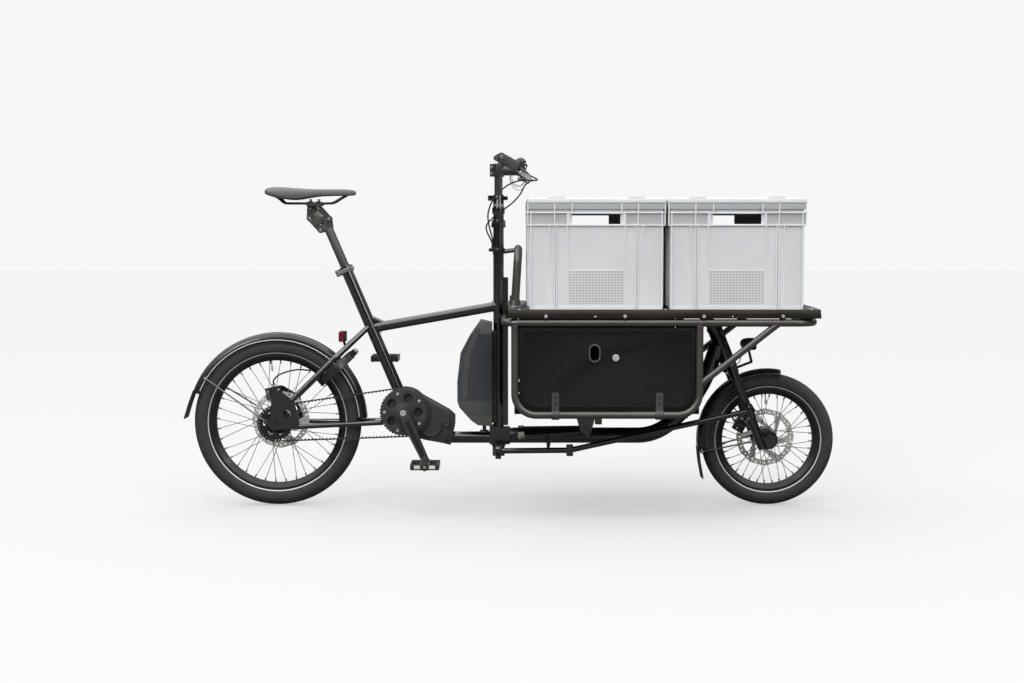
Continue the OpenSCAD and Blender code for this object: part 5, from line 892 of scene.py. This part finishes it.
piece("display_face", [brick((0.003, 0.003, 0.0118), (0.031, 0.042, 0.0129), screen, tilt)]
      + [brick((x, 0.0445, 0.0118), (x + 0.006, 0.0495, 0.0132), lever_black, tilt) for x in (0.006, 0.016)],
      "bar", bevel=0.0005)

grip_rubber = coat("grip_rubber", (0.06, 0.06, 0.058), 0.66, peel=1.2, grain=650.0, stretch=(1.0, 3.0, 1.0))
collar = [(0.0, 0.0115), (0.0, 0.0165), (0.001, 0.0172), (0.0075, 0.0172), (0.0085, 0.0165), (0.0085, 0.0115)]
for side, s in (("right", -1), ("left", 1)):
    start, stop = Vector((0.017, s * 0.17, 1.04)), Vector((-0.024, s * 0.3, 1.058))
    along = (stop - start).normalized()
    back = Vector((-1.0, 0.0, 0.0))
    back = (back - back.dot(along) * along).normalized()
    lift = along.cross(back)
    points, rows, rounds = [], 57, 40
    for i in range(rows):
        t = i / (rows - 1)
        wing = 0.5 - 0.5 * math.cos(math.pi * min(1.0, max(0.0, (t - 0.3) / 0.6)))
        reach = 0.0142 + 0.0012 * math.sin(math.pi * t) + (0.0008 if t < 0.06 or t > 0.95 else 0.0)
        if 0.1 < t < 0.92 and i % 4 == 0:
            reach -= 0.0006
        end = 1.0 if t < 0.985 else 0.86
        for u, v in circle(rounds):
            palm = max(0.0, u) ** 1.5 * wing * 0.0085
            flat = 1.0 - 0.22 * wing * max(0.0, u)
            points.append(start + t * (stop - start) + end * ((reach * u + palm) * back + reach * v * flat * lift))
    piece("grip_" + side, [(points, wrap(rows, rounds), grip_rubber)], "bar", 40.0,
          replaces=("grips",) if s > 0 else ())
    cap = turned(stop - 0.0012 * along, along, [(0.0, 0.011), (0.0012, 0.0108), (0.0018, 0.009)], lever_black, 28)
    piece("grip_collar_" + side, [
        turned(start - 0.0015 * along, along, collar, lever_black, 32, ring=True), cap], "bar")

# ---------------------------------------------------------------- control cables
# Two brake hoses hang in loops from the levers to the back of the mast, each drawn as an upper
# and a lower piece. Thin leads hang from the bar, and one winds down the mast.
back_x = -0.05175
hoses = (("right_hose", 8, ("control_cables",), [
    (0.045, -0.142, 1.018), (0.075, -0.112, 1.006), (0.085, -0.078, 1.0), (0.065, -0.044, 1.0), (0.036, -0.032, 1.0),
    (0.005, -0.029, 0.991), (-0.022, -0.028, 0.972), (-0.05, -0.025, 0.94), (-0.064, -0.014, 0.904),
    (-0.064, -0.006, 0.874), (-0.057, -0.004, 0.843), (back_x, -0.004, 0.823), (back_x, -0.004, 0.808)]),
    ("left_hose", 9, (), [
        (0.045, 0.142, 1.018), (0.067, 0.114, 1.008), (0.073, 0.08, 1.002), (0.063, 0.054, 0.9995),
        (0.0475, 0.038, 0.985), (0.034, 0.031, 0.96), (0.012, 0.03, 0.935), (-0.015, 0.03, 0.914),
        (-0.047, 0.027, 0.89), (-0.069, 0.014, 0.866), (-0.069, 0.006, 0.846), (-0.058, 0.004, 0.822),
        (back_x, 0.004, 0.806), (back_x, 0.004, 0.792)]))
for name, tied_at, replaces, route in hoses:
    line, cut = smooth_path(route, 8), 8 * tied_at
    upper = piece(name + "_upper", [run(line[:cut + 1], 0.0024, hose_black)], None, replaces=replaces)
    lower = piece(name + "_lower", [run(line[cut:], 0.0024, hose_black)], None)
    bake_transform(upper)
    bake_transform(lower)
    piece(name + "_sleeve", [turned(line[-1] - Vector((0.0, 0.0, 0.0005)), (0, 0, 1), [
        (0.0, 0.0034), (0.012, 0.0034), (0.014, 0.0028)], hose_black, 14)], "frame")
leads = ([(0.002, -0.0135, 1.022), (0.003, -0.026, 1.0), (0.012, -0.04, 0.979), (0.028, -0.055, 0.97),
          (0.042, -0.075, 0.975), (0.0485, -0.098, 0.993), (0.048, -0.118, 1.014), (0.04, -0.128, 1.03)],
         [(0.009, -0.0135, 1.022), (0.009, -0.026, 1.004), (0.016, -0.042, 0.989), (0.03, -0.06, 0.984),
          (0.044, -0.082, 0.992), (0.046, -0.1, 1.008), (0.038, -0.112, 1.026)],
         [(0.004, 0.0135, 1.022), (0.006, 0.03, 0.999), (0.02, 0.052, 0.984), (0.038, 0.082, 0.986),
          (0.047, 0.108, 1.004), (0.04, 0.126, 1.028)])
piece("switch_leads", [run(smooth_path(path), 0.0009, hose_black, 8) for path in leads], "bar")
winding = [Vector((mast_x, 0.0, z)) + 0.0178 * Vector((math.cos(math.radians(a)), -math.sin(math.radians(a)), 0.0))
           for a, z in ((170, 0.798), (165, 0.787), (150, 0.772), (128, 0.757), (104, 0.742), (80, 0.728),
                        (56, 0.713), (36, 0.7), (22, 0.688))]
piece("cover_lead", [run(smooth_path(winding), 0.0011, hose_black, 8)], "frame")
piece("hoop_clamp", [turned((mast_x, 0.0, 0.782), (0, 0, 1), [
    (0.0, 0.0163), (0.0, 0.0192), (0.001, 0.0198), (0.011, 0.0198), (0.012, 0.0192), (0.012, 0.0163)],
    lever_black, 40, ring=True), brick((-0.0625, -0.0075, 0.7835), (-0.0505, 0.0075, 0.7925), lever_black)],
    "frame", bevel=0.0004)

# ---------------------------------------------------------------- seat post, suspension links and clamp
# The post slides in the seat tube and carries two pairs of links, with a faceted cover over
# the front pair, that let the saddle sink and spring back.
post_satin = coat("post_satin", (0.085, 0.085, 0.083), 0.38, metal=0.45, peel=0.25, grain=1600.0)
for node, body, finish, bevel in (("seatpost", "post", post_satin, 0.0012),
                                  ("seat_lever", "seat_lever", lever_silver, 0.0007),
                                  ("link_front", "link_front", post_satin, 0.0008),
                                  ("link_rear", "link_rear", post_satin, 0.0008)):
    worked(node, body, [finish], bevel)
cover_grey = coat("cover_grey", (0.13, 0.13, 0.125), 0.33, metal=0.5, peel=0.25, grain=1500.0)
rim = [(-0.5868, 0.9095), (-0.5665, 0.8915), (-0.5725, 0.8725), (-0.592, 0.8605), (-0.6012, 0.8745), (-0.6005, 0.8965)]
for side, s in (("right", -1), ("left", 1)):
    points = [Vector((x, s * 0.0151, z)) for x, z in rim]
    points += [Vector((-0.5855 + 0.93 * (x + 0.5855), s * 0.0165, 0.885 + 0.93 * (z - 0.885))) for x, z in rim]
    points += [Vector((-0.5905, s * 0.0198, 0.8965)), Vector((-0.579, s * 0.0198, 0.8885)),
               Vector((-0.5885, s * 0.0192, 0.8745))]
    faces = [list(range(6))] + [[k, (k + 1) % 6, 6 + (k + 1) % 6, 6 + k] for k in range(6)]
    faces += [[6, 7, 13, 12], [7, 8, 13], [8, 9, 14, 13], [9, 10, 14], [10, 11, 12, 14], [11, 6, 12], [12, 13, 14]]
    piece("link_cover_" + side, [(points, faces, cover_grey)], "link_front", 14.0, 0.0005)
    piece("cover_boss_" + side, [turned((-0.5745, s * 0.0122, 0.8945), (0, s, 0), [(0.0, 0.0045), (0.0034, 0.0045)],
                                        cover_grey, 20)], "link_front")
for name, x, z, body in (("lower_rear", -0.5789, 0.8487, "post"), ("lower_front", -0.5529, 0.8837, "post"),
                         ("upper_rear", -0.6127, 0.8855, "saddle"), ("upper_front", -0.5867, 0.9205, "saddle")):
    side_screws("pivot_bolts_" + name, [(x, 0.0133, z)], 0.0042, 0.0014, silver_bolt, body)

# ---------------------------------------------------------------- saddle
# A foam pad under a stretched cover, narrow at the nose, on a moulded base and two steel rails
# that a two-bolt clamp holds.
rear_x, top = -0.7459, 0.9807
cover = coat("saddle_cover", (0.11, 0.112, 0.108), 0.46, peel=0.9, grain=2600.0, cloud=0.06)
base_black = coat("saddle_base", (0.012, 0.012, 0.012), 0.5, peel=0.4)
# Each station: how far from the rear end in metres, then half its width, top and bottom in mm.
stations = [(0.0, 34, -9, -19), (0.004, 46, -4.5, -23), (0.012, 60, -1.6, -26), (0.024, 72, -0.4, -30),
            (0.04, 76.5, 0.0, -34.5), (0.056, 73, -0.5, -37.5), (0.072, 65, -1.6, -39.6), (0.09, 53, -3.0, -39.8),
            (0.108, 43, -4.2, -38.0), (0.126, 35.5, -5.4, -35.0), (0.145, 30, -6.2, -31.4), (0.165, 26, -6.6, -29.0),
            (0.19, 23, -6.6, -27.6), (0.215, 21, -6.4, -27.2), (0.238, 19.6, -6.6, -27.2), (0.256, 18, -7.6, -27.0),
            (0.267, 14.5, -9.4, -26.0), (0.2735, 9, -12.0, -24.4), (0.276, 4, -15.0, -22.0)]
half_ring = [(0.0, 0.0), (0.22, 0.004), (0.44, 0.035), (0.64, 0.09), (0.8, 0.17), (0.91, 0.29), (0.975, 0.46),
             (1.0, 0.66), (0.99, 0.85), (0.955, 0.985), (0.9, 1.0), (0.83, 0.93), (0.55, 0.8), (0.25, 0.76),
             (0.0, 0.75)]
ring_shape = half_ring + [(-u, v) for u, v in half_ring[-2:0:-1]]
n, base_from = len(ring_shape), 10
points = []
for along, half, high, low in stations:
    dip = 0.9 * math.sin(math.pi * min(1.0, max(0.0, (along - 0.03) / 0.2)))
    for u, v in ring_shape:
        z = high + v * (low - high) - (dip if abs(u) < 0.01 and v < 0.1 else 0.0)
        points.append((rear_x + along, u * half * 0.001, top + z * 0.001))
mesh = bpy.data.meshes.new("saddle_draft")
mesh.from_pydata(points, [], wrap(len(stations), n))
mesh.materials.append(cover)
mesh.materials.append(base_black)
under = [int(base_from <= k < n - base_from) for k in range(n)]
mesh.polygons.foreach_set("material_index", under * (len(stations) - 1) + [0, 0])
draft = bpy.data.objects.new("saddle_draft", mesh)
bpy.context.collection.objects.link(draft)
draft.modifiers.new("rounded", "SUBSURF").levels = 2
pad = settle("saddle_pad", kept_mesh(draft), "saddle", 60.0, replaces=("saddle",))
stud = [(-0.003, 0.0044), (0.0006, 0.0044), (0.0014, 0.0038), (0.0014, 0.0024), (-0.0006, 0.002), (-0.0006, 0.0)]
for side, s in (("right", -1), ("left", 1)):
    edge = [(rear_x + along, s * half * 0.00098, top + (high + 0.9 * (low - high)) * 0.001)
            for along, half, high, low in stations[1:-1]]
    piece("saddle_welt_" + side, [run(smooth_path(edge, 4), 0.0011, base_black, 8)], "saddle")
    piece("saddle_stud_" + side, [turned((rear_x + 0.0172, s * 0.0648, 0.9668), (-0.55, s * 0.83, 0.1), stud,
                                         bare_steel, 24)], "saddle")
    rail = [(x, s * y, z) for x, y, z in (
        (-0.7119, 0.03, 0.9507), (-0.7, 0.0265, 0.9425), (-0.688, 0.0225, 0.9322), (-0.67, 0.022, 0.9307),
        (-0.62, 0.022, 0.9307), (-0.555, 0.022, 0.9307), (-0.537, 0.0205, 0.9335), (-0.516, 0.0145, 0.9455),
        (-0.4959, 0.0085, 0.9565))]
    piece("saddle_rail_" + side, [run(smooth_path(rail), 0.0035, lever_black, 14)], "saddle")
rear_pin, front_pin = Vector((-0.6127, 0.0, 0.8855)), Vector((-0.5867, 0.0, 0.9205))
yoke = [(rear_pin.x + u, rear_pin.z + v) for u, v in ((-0.0085, -0.001), (-0.0045, -0.0072), (0.004, -0.0072))]
yoke += [(front_pin.x + u, front_pin.z + v)
         for u, v in ((-0.002, -0.008), (0.0065, -0.0045), (0.0085, 0.002), (0.012, 0.004))]
yoke += [(rear_pin.x - 0.006, 0.9245)]
clamp = [slab(yoke, -0.0078, 0.0078, post_satin),
         brick((-0.6207, -0.0275, 0.9237), (-0.5727, 0.0275, 0.9278), post_satin)]
clamp += [brick((-0.6187, s * 0.0165, 0.9266), (-0.5747, s * 0.0285, 0.9302), post_satin) for s in (-1, 1)]
clamp += [brick((x, -0.0275, 0.9318), (x + 0.011, 0.0275, 0.9362), lever_black) for x in (-0.6147, -0.5897)]
clamp += [turned((x, s * 0.011, 0.913), (0, 0, 1), [(0.0, 0.0022), (0.027, 0.0022), (0.027, 0.0038), (0.0305, 0.0038)],
                 silver_bolt, 14) for x in (-0.6092, -0.5842) for s in (-1, 1)]
clamp += [turned(pin - Vector((0, half, 0)), (0, 1, 0), [(0.0, 0.0038), (2 * half, 0.0038)], silver_bolt, 20)
          for pin, half in ((rear_pin, 0.0105), (front_pin, 0.0135))]
piece("saddle_clamp", clamp, "saddle", bevel=0.0006)

# ---------------------------------------------------------------- centre stand
# Two legs joined by a wire bow, with rubber feet, that fold up forward of the motor.
worked("stand", "stand", [gloss_black, stop_rubber], 0.0008, lambda c, n: 1 if c.x < 0.0545 and abs(c.y) > 0.06 else 0)
